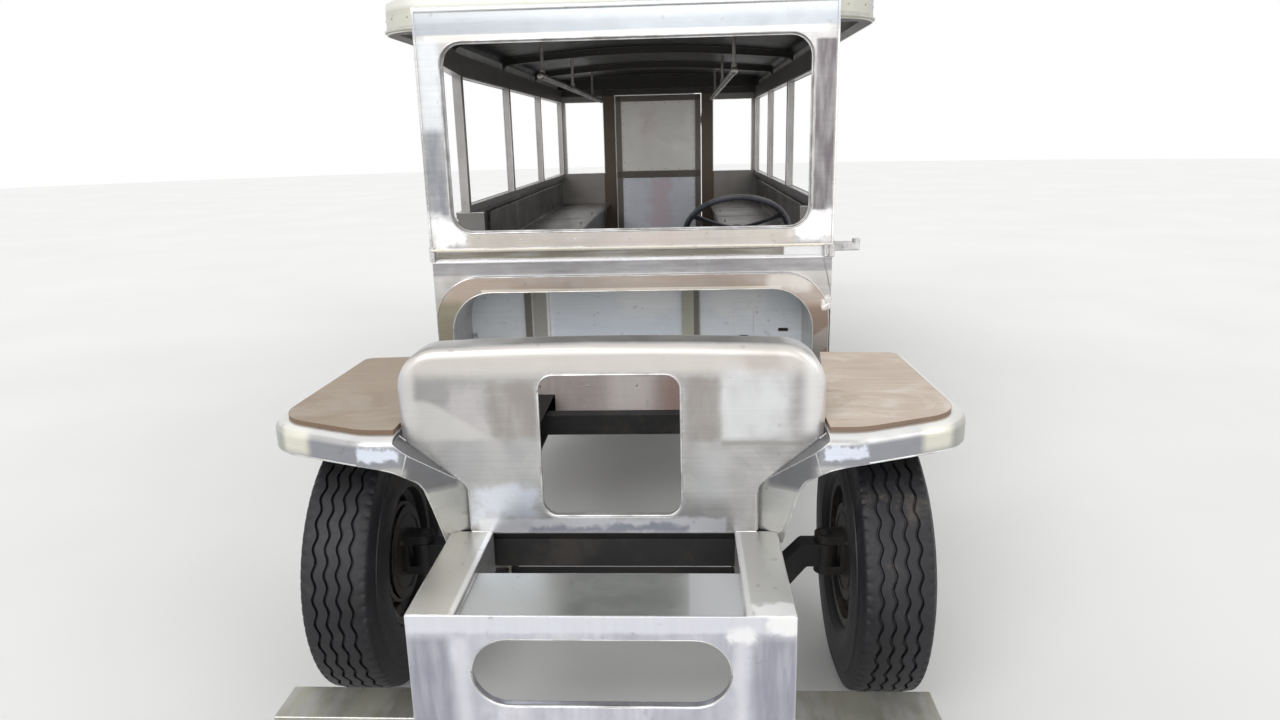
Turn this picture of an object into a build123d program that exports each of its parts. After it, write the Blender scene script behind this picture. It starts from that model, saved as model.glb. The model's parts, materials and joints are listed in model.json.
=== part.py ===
from build123d import *
from math import asin, atan, cos, radians, sin, sqrt, tan
import os

# A bare-metal jeepney. Millimetres, +Z up, -Y is the front, +X is the driver's side.
# The origin lies on the ground under the middle of the overall length.

# overall lengths along the vehicle, each measured back from the piece named
overall_length = 6030
nose_setback = 425          # bumper face to the nose panel
axle_setback = 300          # nose panel to the front axle
wheelbase = 3700
cowl_setback = 1047         # nose panel to the windscreen
cowl_depth = 253            # windscreen to the firewall
door_gap = 650              # firewall to the door pillar
body_rear_gap = 205         # rear wall to the end of the rear bumper
bumper_beam_depth = 60      # the rear bumper's beam

bumper_y = -overall_length / 2
nose_y = bumper_y + nose_setback
front_axle_y = nose_y + axle_setback
rear_axle_y = front_axle_y + wheelbase
cowl_y = nose_y + cowl_setback
firewall_y = cowl_y + cowl_depth
pillar_y = firewall_y + door_gap
rear_y = overall_length / 2 - body_rear_gap

# clearances
seat_gap = 0.3              # a piece resting on or in another
pin_gap = 0.3               # pins in their bores
sheet = 5                   # folded sheet metal
cut_over = 1                # how far a cut or a joint reaches past the face it starts from

# wheels: a 16 inch rim with a 7.50 section tyre
tyre_radius = 400
tyre_section = 215
tread_width = 166
tread_crown = 6
tread_crown_radius = 500
rim_seat_radius = 203
rim_flange_radius = 218
rim_width = 152
front_wheel_x = 745
rear_wheel_x = 710
hub_radius = 55
hub_span = (-62, 74)        # along the wheel's axis from its middle, outward positive
spindle_radius = 22
drum_radius = 150
drum_span = (-65, -15)
disc_span = (14, 24)
stud_circle_radius = 85
stud_count = 6
nut_radius = 11
vent_circle_radius = 135
vent_radius = 17

# chassis
rail_x = 380
rail_width = 70
rail_height = 110
rail_wall = 7
horn_top = 609
rail_top = horn_top - sheet
rail_bottom = rail_top - rail_height
rail_outer = rail_x + rail_width / 2
rail_inner = rail_x - rail_width / 2
hanger_cheek = 6
hanger_half = 24

# springs
leaf_thickness = 10
leaf_count = 4
leaf_width = 60
leaf_step = 110
leaf_sag = 90
front_spring_half = 500
rear_spring_half = 600
eye_radius = 19
eye_bore = 11

# front axle and steering
beam_bottom = 260
beam_height = 70
beam_depth = 64
kingpin_x = 615
kingpin_boss_radius = 36
kingpin_boss_half = 35
kingpin_radius = 12
yoke_gap = 1
yoke_ear = 26
arm_length = 150
arm_inset = 25
tie_rod_radius = 13
tie_rod_z = 300
tie_rod_eye = 17            # radius of its upright ends and half their height

# rear axle
axle_tube_radius = 40
diff_radius = 140
diff_width = 150
pinion_radius = 60
pinion_reach = 210
axle_flange_inset = 12      # flange to the back of the brake drum

# fuel tank
tank_width = 290
tank_length = 650
tank_drop = 175             # under the rail
tank_corner = 35
tank_setback = 550          # door pillar to the tank's front end

# front bumper
bumper_half = 435
bumper_top = horn_top
bumper_bottom = 215
slot_half = 295
slot_low = 378
slot_high = 551
wing_half = 765
wing_top = 345
wing_depth = 115
bumper_return = 150         # folded sides of the bumper box
bumper_foot = 40            # folded lower edge
slot_rim = 18
horn_half_inner = 324
deck_depth = 221
deck_drop = 14
deck_fold = 30

# nose panel
nose_half = 556
nose_corner_z = 1111
nose_corner_radius = 115
nose_crown = 23             # rise of the middle over the corners
nose_crown_flat = 120
nose_shoulder_z = 880
nose_leg_half = 382
nose_leg_z = 735
nose_bottom = rail_top
nose_depth = 95
nose_roll = 28
opening_half = 185.5
opening_low = 653
opening_high = 1044
opening_corner = 42
opening_rim = 24

# front fenders
fender_top = 894
fender_outer = 943          # its outer side where it is straight
fender_cut = 1100           # how far cuts reach across, past the outer side
collar_reach = 30           # flange along the nose panel, behind its face
fender_lip = 820
fender_roll = 30
leg_bottom = 584
arch_depth = 150
board_thickness = 12
splash_x = (700, 915)
splash_top_y = 796          # from the nose panel, as the next
splash_foot_y = 1000
splash_lap = 45             # over the fender's lower edge
step_top = 430
step_depth = 28
step_outer = 875
step_inner = 700
step_rear = 20              # past the door pillar
front_bracket_gap = 15      # behind the firewall
rear_bracket_gap = 100      # ahead of the door pillar
bracket_half = 18
bracket_height = 30

# cowl and windscreen
cowl_half = 735
cowl_top = 1242
cowl_foot = 655
arch_inset = 70             # hood arch from the cowl's side
arch_top = 1083
arch_corner = 150
arch_lip = 40
arch_lip_width = 56
arch_lip_inset = 13
arch_half = cowl_half - arch_inset
arch_lip_half = cowl_half - arch_lip_inset
ledge_height = 8
ledge_depth = 14
channel_low = 1201
channel_high = 1228
channel_depth = 8
channel_right = 560
ridge_low = 1188
ridge_high = 1195
ridge_depth = 6
frame_inset = 5             # windscreen frame from the cowl's side
frame_depth = 50
frame_face = 74             # width of the upright faces
frame_sill = 54             # cowl to the opening
screen_height = 669
header_height = 113         # opening to the header's top edge
header_bead = 10
flange_proud = 7
flange_lead = 6
screen_corner = 80
frame_half = cowl_half - frame_inset
screen_half = frame_half - frame_face
screen_low = cowl_top + frame_sill
screen_high = screen_low + screen_height
frame_top = screen_high + header_height
firewall_sheet = 12
apron_sheet = 6
apron_inset = 90
rib_depth = 14

# body
floor_top = 690
floor_thickness = 30
side_outer = 860
side_thickness = 25
side_low = 560
belt_z = 1300
pillar_size = 40
window_outer = 840
window_rail = 95
sill_rail = 30
bay_count = 3
roof_half = 885
roof_step = 73              # header's top edge down to the roof's lower edge
roof_side_height = 100
roof_crown = 70             # rise of the middle over the edges
roof_crown_flat = 300
roof_edge_radius = 38
roof_front_corner = 200
roof_rear_corner = 60
roof_setback = 12           # windscreen to the roof's front edge
roof_overhang = 45
roof_low = frame_top - roof_step
roof_edge = roof_low + roof_side_height
roof_peak = roof_edge + roof_crown
window_rail_low = roof_low - window_rail
header_depth = 120
roof_skin = 30
roof_side = 55
bow_depth = 38
bow_width = 40
rear_arch_radius = 470
hoop_width = 22
wheel_box_top = 930
wheel_box_inner = 560
wheel_box_half = 480
bench_inner = 430
bench_top = 1080
bench_panel = 30
bench_front_gap = 540       # door pillar to the front end of the benches
bench_overhang = 20
bench_back = 14
bench_back_gap = 40         # under the windows' sill
seat_front_gap = 580        # firewall to the front of the seat boxes
seat_depth = 430
seat_top = 960
seat_lid = 20
bearer_count = 6
bearer_half = 25
bearer_gap = 120            # first and last bearer to the ends of the floor
hand_rail_x = 430
hand_rail_drop = 105        # under the roof's lower edge
hand_rail_radius = 14
hanger_radius = 8
hand_rail_front = 60        # past the first hanger
hand_rail_rear = 700        # past the last
rear_window_inset = 95      # doorway to the rear windows
rear_window_edge = 25
rear_bumper_half = 780
rear_beam_drop = 45
rear_beam_height = 120
tread_height = 15

# rear door
door_half = 360
door_clear = 6
door_low = 700
door_high = 1955
door_panel = 8
door_stile = 45
door_mid_z = 1315
hinge_offset = 12
hinge_radius = 9
hinge_pin = 5
hinge_heights = (900, 1750)
hinge_half = 30
hinge_knuckle = 19
hinge_leaf = 55
door_thickness = 25
door_rail_half = 25
handle_low = 1030
handle_high = 1170
handle_width = 20
handle_reach = 32
handle_bar = 14

# steering wheel, column and box
column_x = 420
wheel_setback = 250         # firewall to the middle of the steering wheel
wheel_centre_z = 1235
column_tilt = 45            # degrees back from the vertical
steering_radius = 225
steering_rim = 13
steering_hub_radius = 38
steering_hub_height = 39
spoke_width = 24
spoke_thickness = 9
column_radius = 22
column_length = 270         # middle of the wheel to the joint
column_gap = 30             # hub to the column's upper end
joint_radius = 30
shaft_radius = 14
shaft_hole_gap = 8
shaft_foot_x = 450
shaft_foot_gap = 32         # firewall to the shaft's foot
shaft_foot_z = 630
box_width = 85
box_front = 120
box_rear = 8
box_rise = 45
box_drop = 90
pitman_arm = (30, 55)       # across, from the rail
pitman_drop = 90
dash_depth = 120
dash_height = 110
stay_half = 12
stay_setback = 60

rail_front_y = bumper_y + sheet
rail_rear_y = overall_length / 2 - bumper_beam_depth
wheel_centre_y = firewall_y + wheel_setback
hand_rail_z = roof_low - hand_rail_drop
pillar_pitch = (rear_y - pillar_size - pillar_y) / bay_count


def block(x, y, z):
    """Box between low and high values along each axis."""
    spans = (x, y, z)
    size = [high - low for low, high in spans]
    centre = [(high + low) / 2 for low, high in spans]
    return Pos(*centre) * Box(*size)


def rounded_face(rows):
    """Face through corners given as (across, up, corner radius)."""
    corners = [Vector(across, up) for across, up, _ in rows]
    count = len(rows)
    starts, middles, ends = [], [], []
    for i, (_, _, radius) in enumerate(rows):
        back = (corners[i - 1] - corners[i]).normalized()
        ahead = (corners[(i + 1) % count] - corners[i]).normalized()
        half = radians(back.get_angle(ahead)) / 2
        reach = radius / tan(half)
        starts.append(corners[i] + back * reach)
        ends.append(corners[i] + ahead * reach)
        middles.append(corners[i] + (back + ahead).normalized() * (radius / sin(half) - radius))
    edges = []
    for i, (_, _, radius) in enumerate(rows):
        if radius:
            edges.append(ThreePointArc(starts[i], middles[i], ends[i]))
        edges.append(Line(ends[i], starts[(i + 1) % count]))
    return make_face(edges)


def mirrored_rows(half_rows, apex=None):
    """Rows of a symmetric outline from its +X side, bottom first, with an optional apex on the middle."""
    left = [(-across, up, radius) for across, up, radius in reversed(half_rows)]
    middle = [apex] if apex else []
    return half_rows + middle + left


def along_y(face, low, high):
    """Prism of an X-Z face between two stations along the vehicle."""
    return extrude(Plane(origin=(0, high, 0), x_dir=(1, 0, 0), z_dir=(0, -1, 0)) * face, amount=high - low)


def along_x(face, low, high):
    """Prism of a Y-Z face between two places across the vehicle."""
    return extrude(Plane(origin=(low, 0, 0), x_dir=(0, 1, 0), z_dir=(1, 0, 0)) * face, amount=high - low)


def along_z(face, low, high):
    """Prism of an X-Y face between two heights."""
    return extrude(Pos(0, 0, low) * face, amount=high - low)


def rod(start, end, radius):
    """Round bar between two points."""
    axis = Vector(*end) - Vector(*start)
    plane = Plane(origin=start, z_dir=axis)
    return extrude(plane * Circle(radius), amount=axis.length)


def other_side(shape):
    return mirror(shape, about=Plane.YZ)


def fuse(shapes):
    whole = shapes[0]
    for shape in shapes[1:]:
        whole = whole + shape
    return whole


def save(shape, node):
    os.makedirs("parts", exist_ok=True)
    export_step(shape, f"parts/{node}.step")


def turned(rows, x, y, outward):
    """Solid of revolution about a wheel's axle, from (axial, radius, corner radius) rows."""
    profile = rounded_face(rows)
    solid = revolve(Plane(origin=(0, 0, 0), x_dir=(1, 0, 0), z_dir=(0, -1, 0)) * profile, Axis.X)
    if outward < 0:
        solid = other_side(solid)
    return Pos(outward * x, y, tyre_radius) * solid


# Chassis: two channel rails, open to the middle, and box cross members between them.
cross_members = (
    # name, middle along the vehicle, width, low and high edges from the rail's
    ("front", nose_y + 60, 70, 0, -30),
    ("bay rear", cowl_y + 73, 60, 6, -24),
    ("middle", pillar_y + 350, 60, 10, -20),
    ("rear spring", rear_axle_y - rear_spring_half - 70, 60, 10, -20),
    ("rear", rear_axle_y + rear_spring_half + 80, 60, 10, -20),
    ("tail", rail_rear_y - 195, 60, 10, -20),
)


def spring_radius(half_span):
    """Radius of the top leaf's upper face."""
    return (half_span ** 2 + leaf_sag ** 2) / (2 * leaf_sag)


def spring_eye_z(half_span, seat_z):
    radius = spring_radius(half_span)
    return seat_z + radius - sqrt(radius ** 2 - half_span ** 2) - leaf_thickness / 2


spring_pad_half = 60
pad_rise = spring_pad_half ** 2 / (2 * spring_radius(rear_spring_half))
spring_sets = (
    # axle y, half span, height of the top leaf's upper face at the axle
    (front_axle_y, front_spring_half, beam_bottom + beam_height + leaf_count * leaf_thickness + seat_gap),
    (rear_axle_y, rear_spring_half, tyre_radius - axle_tube_radius - seat_gap - pad_rise),
)


def chassis_frame():
    outer = block((rail_inner, rail_outer), (rail_front_y, rail_rear_y), (rail_bottom, rail_top))
    channel = block((rail_inner - cut_over, rail_outer - rail_wall),
                    (rail_front_y - cut_over, rail_rear_y + cut_over),
                    (rail_bottom + rail_wall, rail_top - rail_wall))
    rail = outer - channel
    pieces = [rail, other_side(rail)]
    reach = rail_outer - rail_wall
    for _, middle, width, lift, drop in cross_members:
        pieces.append(block((-reach, reach), (middle - width / 2, middle + width / 2),
                            (rail_bottom + lift, rail_top + drop)))
    cheek_in = leaf_width / 2 + cut_over
    cheek_out = cheek_in + hanger_cheek
    for axle_y, half_span, seat_z in spring_sets:
        eye_z = spring_eye_z(half_span, seat_z)
        for eye_y in (axle_y - half_span, axle_y + half_span):
            y = (eye_y - hanger_half, eye_y + hanger_half)
            z = (eye_z - eye_radius - 3, rail_bottom + cut_over)
            for side in (-1, 1):
                middle = side * rail_x
                pieces.append(block((middle - cheek_out, middle - cheek_in), y, z))
                pieces.append(block((middle + cheek_in, middle + cheek_out), y, z))
                pieces.append(rod((middle - cheek_out, eye_y, eye_z), (middle + cheek_out, eye_y, eye_z),
                                  eye_bore - pin_gap))
    return fuse(pieces)


def leaf_spring(side, axle_y, half_span, seat_z):
    """Stack of curved leaves under a rail, with an eye at each end of the top leaf."""
    radius = spring_radius(half_span)
    centre_z = seat_z + radius
    leaves = []
    for leaf in range(leaf_count):
        inner = radius + leaf * leaf_thickness
        outer = inner + leaf_thickness
        half_angle = asin((half_span - leaf * leaf_step) / radius)

        def at(distance, angle):
            return Vector(axle_y + distance * sin(angle), centre_z - distance * cos(angle))

        edges = [
            ThreePointArc(at(inner, -half_angle), at(inner, 0), at(inner, half_angle)),
            Line(at(inner, half_angle), at(outer, half_angle)),
            ThreePointArc(at(outer, half_angle), at(outer, 0), at(outer, -half_angle)),
            Line(at(outer, -half_angle), at(inner, -half_angle)),
        ]
        leaves.append(along_x(make_face(edges), -leaf_width / 2, leaf_width / 2))
    eye_z = spring_eye_z(half_span, seat_z)
    bores = []
    for end in (-1, 1):
        eye = Pos(0, axle_y + end * half_span, eye_z) * Rot(0, 90, 0)
        leaves.append(eye * Cylinder(eye_radius, leaf_width))
        bores.append(eye * Cylinder(eye_bore, leaf_width + 2))
    return Pos(side * rail_x, 0, 0) * (fuse(leaves) - fuse(bores))


def leaf_springs():
    springs = []
    for side in (-1, 1):
        for axle_y, half_span, seat_z in spring_sets:
            springs.append(leaf_spring(side, axle_y, half_span, seat_z))
    return Compound(children=springs)


def front_axle():
    """Dropped beam whose ends rise to the kingpin bosses."""
    boss_low = tyre_radius - kingpin_boss_half
    boss_high = tyre_radius + kingpin_boss_half
    seat_half = rail_x + leaf_width
    beam_top = beam_bottom + beam_height
    rows = [
        (seat_half + 30, beam_bottom, 30),
        (kingpin_x - 60, boss_low, 15),
        (kingpin_x - 20, boss_low, 0),
        (kingpin_x - 20, boss_high, 0),
        (kingpin_x - 75, boss_high, 20),
        (seat_half, beam_top, 30),
    ]
    outline = rounded_face(rows + [(-across, up, radius) for across, up, radius in reversed(rows)])
    beam = along_y(outline, front_axle_y - beam_depth / 2, front_axle_y + beam_depth / 2)
    pieces = [beam]
    bores = []
    for side in (-1, 1):
        foot = (side * kingpin_x, front_axle_y)
        pieces.append(rod((*foot, boss_low), (*foot, boss_high), kingpin_boss_radius))
        bores.append(rod((*foot, boss_low - 1), (*foot, boss_high + 1), kingpin_radius + pin_gap))
        seat_low = beam_top - beam_height / 2
        pieces.append(block((side * rail_x - 45, side * rail_x + 45),
                            (front_axle_y - 55, front_axle_y + 55), (seat_low, beam_top)))
    return fuse(pieces) - fuse(bores)


def knuckle(side):
    """Yoke, kingpin, spindle and steering arm of one front wheel, drawn for +X."""
    boss_low = tyre_radius - kingpin_boss_half
    boss_high = tyre_radius + kingpin_boss_half
    ear = kingpin_boss_radius - 2
    web_in = kingpin_x + kingpin_boss_radius + 5
    web_out = web_in + 24
    low = boss_low - yoke_gap - yoke_ear
    high = boss_high + yoke_gap + yoke_ear
    pieces = [block((web_in, web_out), (front_axle_y - ear, front_axle_y + ear), (low, high))]
    for base, top in ((low, boss_low - yoke_gap), (boss_high + yoke_gap, high)):
        pieces.append(rod((kingpin_x, front_axle_y, base), (kingpin_x, front_axle_y, top), ear))
        pieces.append(block((kingpin_x, web_in + 1), (front_axle_y - ear, front_axle_y + ear), (base, top)))
    pieces.append(rod((kingpin_x, front_axle_y, low), (kingpin_x, front_axle_y, high), kingpin_radius))
    spindle_end = front_wheel_x + hub_span[1] - 6
    pieces.append(rod((web_out - 1, front_axle_y, tyre_radius),
                      (spindle_end, front_axle_y, tyre_radius), spindle_radius))
    arm_z = (low, low + 18)
    arm_end = (kingpin_x - arm_inset, front_axle_y + arm_length)
    arm = Polyline((kingpin_x - 18, front_axle_y + 10), (kingpin_x + 18, front_axle_y + 10),
                   (arm_end[0] + 14, arm_end[1]), (arm_end[0] - 14, arm_end[1]), close=True)
    pieces.append(along_z(make_face(arm), *arm_z))
    pieces.append(rod((*arm_end, tie_rod_z + tie_rod_eye + seat_gap), (*arm_end, arm_z[1]), 14))
    whole = fuse(pieces)
    return whole if side > 0 else other_side(whole)


def tie_rod():
    end = kingpin_x - arm_inset
    y = front_axle_y + arm_length
    pieces = [rod((-end, y, tie_rod_z), (end, y, tie_rod_z), tie_rod_radius)]
    for side in (-1, 1):
        pieces.append(rod((side * end, y, tie_rod_z - tie_rod_eye),
                          (side * end, y, tie_rod_z + tie_rod_eye), tie_rod_eye))
    return fuse(pieces)


def wheel_rim(x, y, side):
    """Drop-centre rim, disc, hub and brake drum turning together."""
    half = rim_width / 2
    wall = 5
    lip = half + wall
    rim_rows = [
        (-lip, rim_flange_radius, 0), (-half, rim_flange_radius, 0), (-half, rim_seat_radius, 0),
        (-half + 26, rim_seat_radius, 4), (-half + 40, rim_seat_radius - 20, 6),
        (half - 40, rim_seat_radius - 20, 6), (half - 26, rim_seat_radius, 4),
        (half, rim_seat_radius, 0), (half, rim_flange_radius, 0), (lip, rim_flange_radius, 0),
        (lip, rim_seat_radius - wall, 0), (half - 24, rim_seat_radius - wall, 4),
        (half - 38, rim_seat_radius - 20 - wall, 6), (-half + 38, rim_seat_radius - 20 - wall, 6),
        (-half + 24, rim_seat_radius - wall, 4), (-lip, rim_seat_radius - wall, 0),
    ]
    disc_in, disc_out = disc_span
    disc_rows = [
        (disc_in, hub_radius - 5, 0), (disc_in, 105, 15), (disc_in - 30, 150, 15),
        (disc_in - 30, rim_seat_radius - 22, 0), (disc_out - 30, rim_seat_radius - 22, 0),
        (disc_out - 30, 155, 15), (disc_out, 112, 15), (disc_out, hub_radius - 5, 0),
    ]
    bore = spindle_radius + pin_gap
    hub_rows = [
        (hub_span[0], bore, 0), (hub_span[0], hub_radius, 4), (drum_span[1], hub_radius, 0),
        (hub_span[1] - 20, hub_radius - 8, 8), (hub_span[1], hub_radius - 18, 8), (hub_span[1], bore, 0),
    ]
    drum_rows = [
        (drum_span[0], drum_radius - 8, 0), (drum_span[0], drum_radius, 3), (drum_span[1], drum_radius, 6),
        (drum_span[1], hub_radius - 5, 0), (drum_span[1] - 8, hub_radius - 5, 0),
        (drum_span[1] - 8, drum_radius - 8, 0),
    ]
    pieces = [turned(rows, x, y, side) for rows in (rim_rows, disc_rows, hub_rows, drum_rows)]
    whole = fuse(pieces)
    cap = turned([(hub_span[1] - 4, 0, 0), (hub_span[1], 0, 0), (hub_span[1], bore + 2, 0),
                  (hub_span[1] - 4, bore + 2, 0)], x, y, side)
    holes, nuts = [], []
    for stud in range(stud_count):
        angle = radians(360 * stud / stud_count)
        centre_y = y + stud_circle_radius * cos(angle)
        centre_z = tyre_radius + stud_circle_radius * sin(angle)
        nuts.append(rod((side * (x + disc_in), centre_y, centre_z),
                        (side * (x + disc_out + 16), centre_y, centre_z), nut_radius))
        turn = angle + radians(180 / stud_count)
        hole_y = y + vent_circle_radius * cos(turn)
        hole_z = tyre_radius + vent_circle_radius * sin(turn)
        holes.append(rod((side * (x + disc_in - 34), hole_y, hole_z),
                         (side * (x + disc_out + 2), hole_y, hole_z), vent_radius))
    return fuse([whole - fuse(holes), cap] + nuts)


def tyre(x, y, side):
    half = tyre_section / 2
    bead = rim_width / 2 - seat_gap
    inner = rim_seat_radius + seat_gap
    slope = atan(tread_crown / (tread_width / 2))
    apex = tyre_radius + tread_crown_radius * (1 / cos(slope) - 1)
    shoulder = apex - tread_crown
    rows = [
        (-bead, inner, 0), (-bead, rim_flange_radius + 4, 0), (-half, inner + 70, 60),
        (-half + 2, tyre_radius - 70, 60), (-tread_width / 2, shoulder, 14),
        (0, apex, tread_crown_radius),
        (tread_width / 2, shoulder, 14), (half - 2, tyre_radius - 70, 60),
        (half, inner + 70, 60), (bead, rim_flange_radius + 4, 0), (bead, inner, 0),
    ]
    return turned(rows, x, y, side)


def rear_axle():
    """Tubes, differential and spindles of the driven axle."""
    reach = rear_wheel_x + drum_span[0] - axle_flange_inset
    spindle_end = rear_wheel_x + hub_span[1] - 6
    centre = (rear_axle_y, tyre_radius)
    tube = rod((-reach, *centre), (reach, *centre), axle_tube_radius)
    spindle = rod((-spindle_end, *centre), (spindle_end, *centre), spindle_radius)
    casing = Pos(0, *centre) * (Rot(90, 0, 0) * Cylinder(diff_radius, diff_width))
    casing = fillet(casing.edges(), 30)
    pinion = rod((0, rear_axle_y - pinion_reach, tyre_radius), (0, *centre), pinion_radius)
    pieces = [tube, spindle, casing, pinion]
    pad_low = tyre_radius - axle_tube_radius
    for side in (-1, 1):
        pieces.append(rod((side * (reach - 12), *centre), (side * reach, *centre), drum_radius - 25))
        pieces.append(block((side * rail_x - 40, side * rail_x + 40),
                            (rear_axle_y - spring_pad_half, rear_axle_y + spring_pad_half),
                            (pad_low, pad_low + 14)))
    return fuse(pieces)


def fuel_tank():
    front = pillar_y + tank_setback
    tank = block((rail_outer, rail_outer + tank_width), (front, front + tank_length),
                 (rail_bottom - tank_drop, rail_top - 20))
    return fillet(tank.edges().filter_by(Axis.Y), tank_corner)


def front_bumper():
    """Slotted face plate with folded sides and a lower wing at each side."""
    face = rounded_face([(bumper_half, bumper_bottom, 0), (bumper_half, bumper_top, 0),
                         (-bumper_half, bumper_top, 0), (-bumper_half, bumper_bottom, 0)])
    slot_radius = (slot_high - slot_low) / 2 - 0.5
    slot = rounded_face([(slot_half, slot_low, slot_radius), (slot_half, slot_high, slot_radius),
                         (-slot_half, slot_high, slot_radius), (-slot_half, slot_low, slot_radius)])
    plate = along_y(face, bumper_y, bumper_y + sheet) - along_y(slot, bumper_y - 1, bumper_y + sheet + 1)
    rim_outer = offset(slot, amount=sheet)
    rim = along_y(rim_outer - slot, bumper_y + sheet - cut_over, bumper_y + sheet + slot_rim)
    pieces = [plate, rim]
    for side in (-1, 1):
        low, high = sorted((side * (bumper_half - sheet), side * bumper_half))
        pieces.append(block((low, high), (bumper_y, bumper_y + bumper_return), (bumper_bottom, rail_bottom)))
        low, high = sorted((side * (bumper_half - 1), side * wing_half))
        pieces.append(block((low, high), (bumper_y, bumper_y + wing_depth), (bumper_bottom, wing_top)))
    pieces.append(block((-bumper_half + 1, bumper_half - 1), (bumper_y + 1, bumper_y + bumper_foot),
                        (bumper_bottom, bumper_bottom + sheet)))
    return fuse(pieces)


def bumper_deck():
    """Folded covers over the two rail horns and the recessed plate between them."""
    front = bumper_y + sheet
    back = nose_y
    outer = block((horn_half_inner, bumper_half), (front, back), (rail_bottom, horn_top))
    inner = block((horn_half_inner + sheet, bumper_half - sheet), (front - 1, back + 1),
                  (rail_bottom - 1, rail_top))
    cover = outer - inner
    plate = block((-horn_half_inner - 1, horn_half_inner + 1), (front, bumper_y + deck_depth),
                  (horn_top - deck_drop - sheet, horn_top - deck_drop))
    fold = block((-horn_half_inner - 1, horn_half_inner + 1),
                 (bumper_y + deck_depth - sheet, bumper_y + deck_depth),
                 (horn_top - deck_drop - deck_fold, horn_top - deck_drop))
    return fuse([cover, other_side(cover), plate, fold])


def crown_radius(half, rise, flat):
    """Radius of a crown over a given half width that leaves a straight part at each end."""
    return (sqrt(half ** 2 + rise ** 2) - flat) * half / rise


nose_half_rows = [
    # half width, height, corner radius
    (nose_leg_half, nose_bottom, 0), (nose_leg_half, nose_leg_z, 40),
    (nose_half, nose_shoulder_z, 0), (nose_half, nose_corner_z, nose_corner_radius),
]
nose_peak = (0, nose_corner_z + nose_crown, crown_radius(nose_half, nose_crown, nose_crown_flat))
nose_rows = mirrored_rows(nose_half_rows, nose_peak)


def upper_rim(prism):
    """Edges of the prism's front face that lie above the nose panel's shoulders."""
    front = prism.faces().sort_by(Axis.Y)[0]
    return [edge for edge in front.edges() if edge.center().Z > nose_shoulder_z]


def nose_shell():
    """Pan-shaped front panel, rolled above its shoulders, with a square opening."""
    face = rounded_face(nose_rows)
    outer = along_y(face, nose_y, nose_y + nose_depth)
    outer = fillet(upper_rim(outer), nose_roll)
    hollow_face = offset(face, amount=-sheet, kind=Kind.INTERSECTION)
    hollow = along_y(hollow_face, nose_y + sheet, nose_y + nose_depth + 1)
    hollow = fillet(upper_rim(hollow), nose_roll - sheet)
    opening_rows = [(opening_half, opening_low, opening_corner), (opening_half, opening_high, opening_corner),
                    (-opening_half, opening_high, opening_corner), (-opening_half, opening_low, opening_corner)]
    opening = rounded_face(opening_rows)
    rim = along_y(offset(opening, amount=sheet), nose_y + sheet - 1, nose_y + opening_rim)
    cut = along_y(opening, nose_y - 1, nose_y + opening_rim + 1)
    return (outer - hollow) + rim - cut


fender_plan = [
    # across, back from the nose panel, corner radius
    (nose_leg_half, 20, 0), (522, -62, 50), (640, -62, 180), (962, 73, 180), (fender_outer, 775, 35),
    (660, 800, 0), (566, nose_depth, 0), (nose_leg_half, nose_depth, 0),
]
board_plan = [
    # the same columns
    (562, -22, 0), (650, -22, 180), (922, 95, 140), (903, 745, 30), (655, 765, 0), (562, 60, 0),
]
fender_arch = [
    # lower edge of the front valance: across, up, corner radius
    (448, leg_bottom, 0), (474, 690, 80), (496, 770, 45), (566, 808, 90), (660, fender_lip, 200),
    (1000, fender_lip, 0), (1000, 500, 0), (448, 500, 0),
]


def plan_face(rows):
    return rounded_face([(across, nose_y + back, radius) for across, back, radius in rows])


def nose_blank(clearance):
    """The space that the nose panel fills, a little larger."""
    face = offset(rounded_face(nose_rows), amount=clearance, kind=Kind.INTERSECTION)
    return along_y(face, nose_y - 200, nose_y + nose_depth + clearance)


def rolled(prism, radius):
    """The prism with its upper edge rolled along the front and the outer side."""
    top = prism.faces().sort_by(Axis.Z)[-1]
    outer_x = fender_outer - fender_roll
    edges = [edge for edge in top.edges() if edge.center().Y < nose_y + 15 or edge.center().X > outer_x]
    return fillet(edges, radius)


def fender(side):
    """Flat-topped fender of the +X side with a valance, an inner flange and a rear splash panel."""
    plan = plan_face(fender_plan)
    inner = offset(plan, amount=-sheet, kind=Kind.INTERSECTION)
    solid = rolled(along_z(plan, leg_bottom, fender_top), fender_roll)
    shell = solid - rolled(along_z(inner, leg_bottom - cut_over, fender_top - sheet), fender_roll - sheet)
    collar = nose_blank(seat_gap + sheet) - block((-fender_cut, fender_cut),
                                                  (nose_y + collar_reach, nose_y + 2 * nose_depth),
                                                  (nose_bottom - fender_cut, fender_top + fender_cut))
    shell = shell + (solid & collar)
    arch = along_y(rounded_face(fender_arch), nose_y - 300, nose_y + arch_depth)
    behind = block((0, fender_cut), (nose_y + arch_depth - cut_over, nose_y + splash_foot_y),
                   (leg_bottom - 50, fender_lip))
    horn = block((0, bumper_half + seat_gap), (bumper_y, nose_y + 300), (rail_bottom, horn_top + seat_gap))
    shell = shell - arch - behind - nose_blank(seat_gap) - horn
    top_y = nose_y + splash_top_y
    foot_y = nose_y + splash_foot_y
    top_z = fender_lip + splash_lap
    splash = make_face(Polyline((top_y, top_z), (foot_y, step_top), (foot_y - sheet, step_top),
                                (top_y - sheet - cut_over, top_z), close=True))
    shell = shell + along_x(splash, *splash_x)
    return shell if side > 0 else other_side(shell)


def fender_board(side):
    """Board laid on the fender's flat top."""
    board = along_z(plan_face(board_plan), fender_top, fender_top + board_thickness)
    board = board - nose_blank(seat_gap)
    return board if side > 0 else other_side(board)


def arch_face(half, top, corner, foot):
    return rounded_face([(half, foot, 0), (half, top, corner), (-half, top, corner), (-half, foot, 0)])


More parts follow.
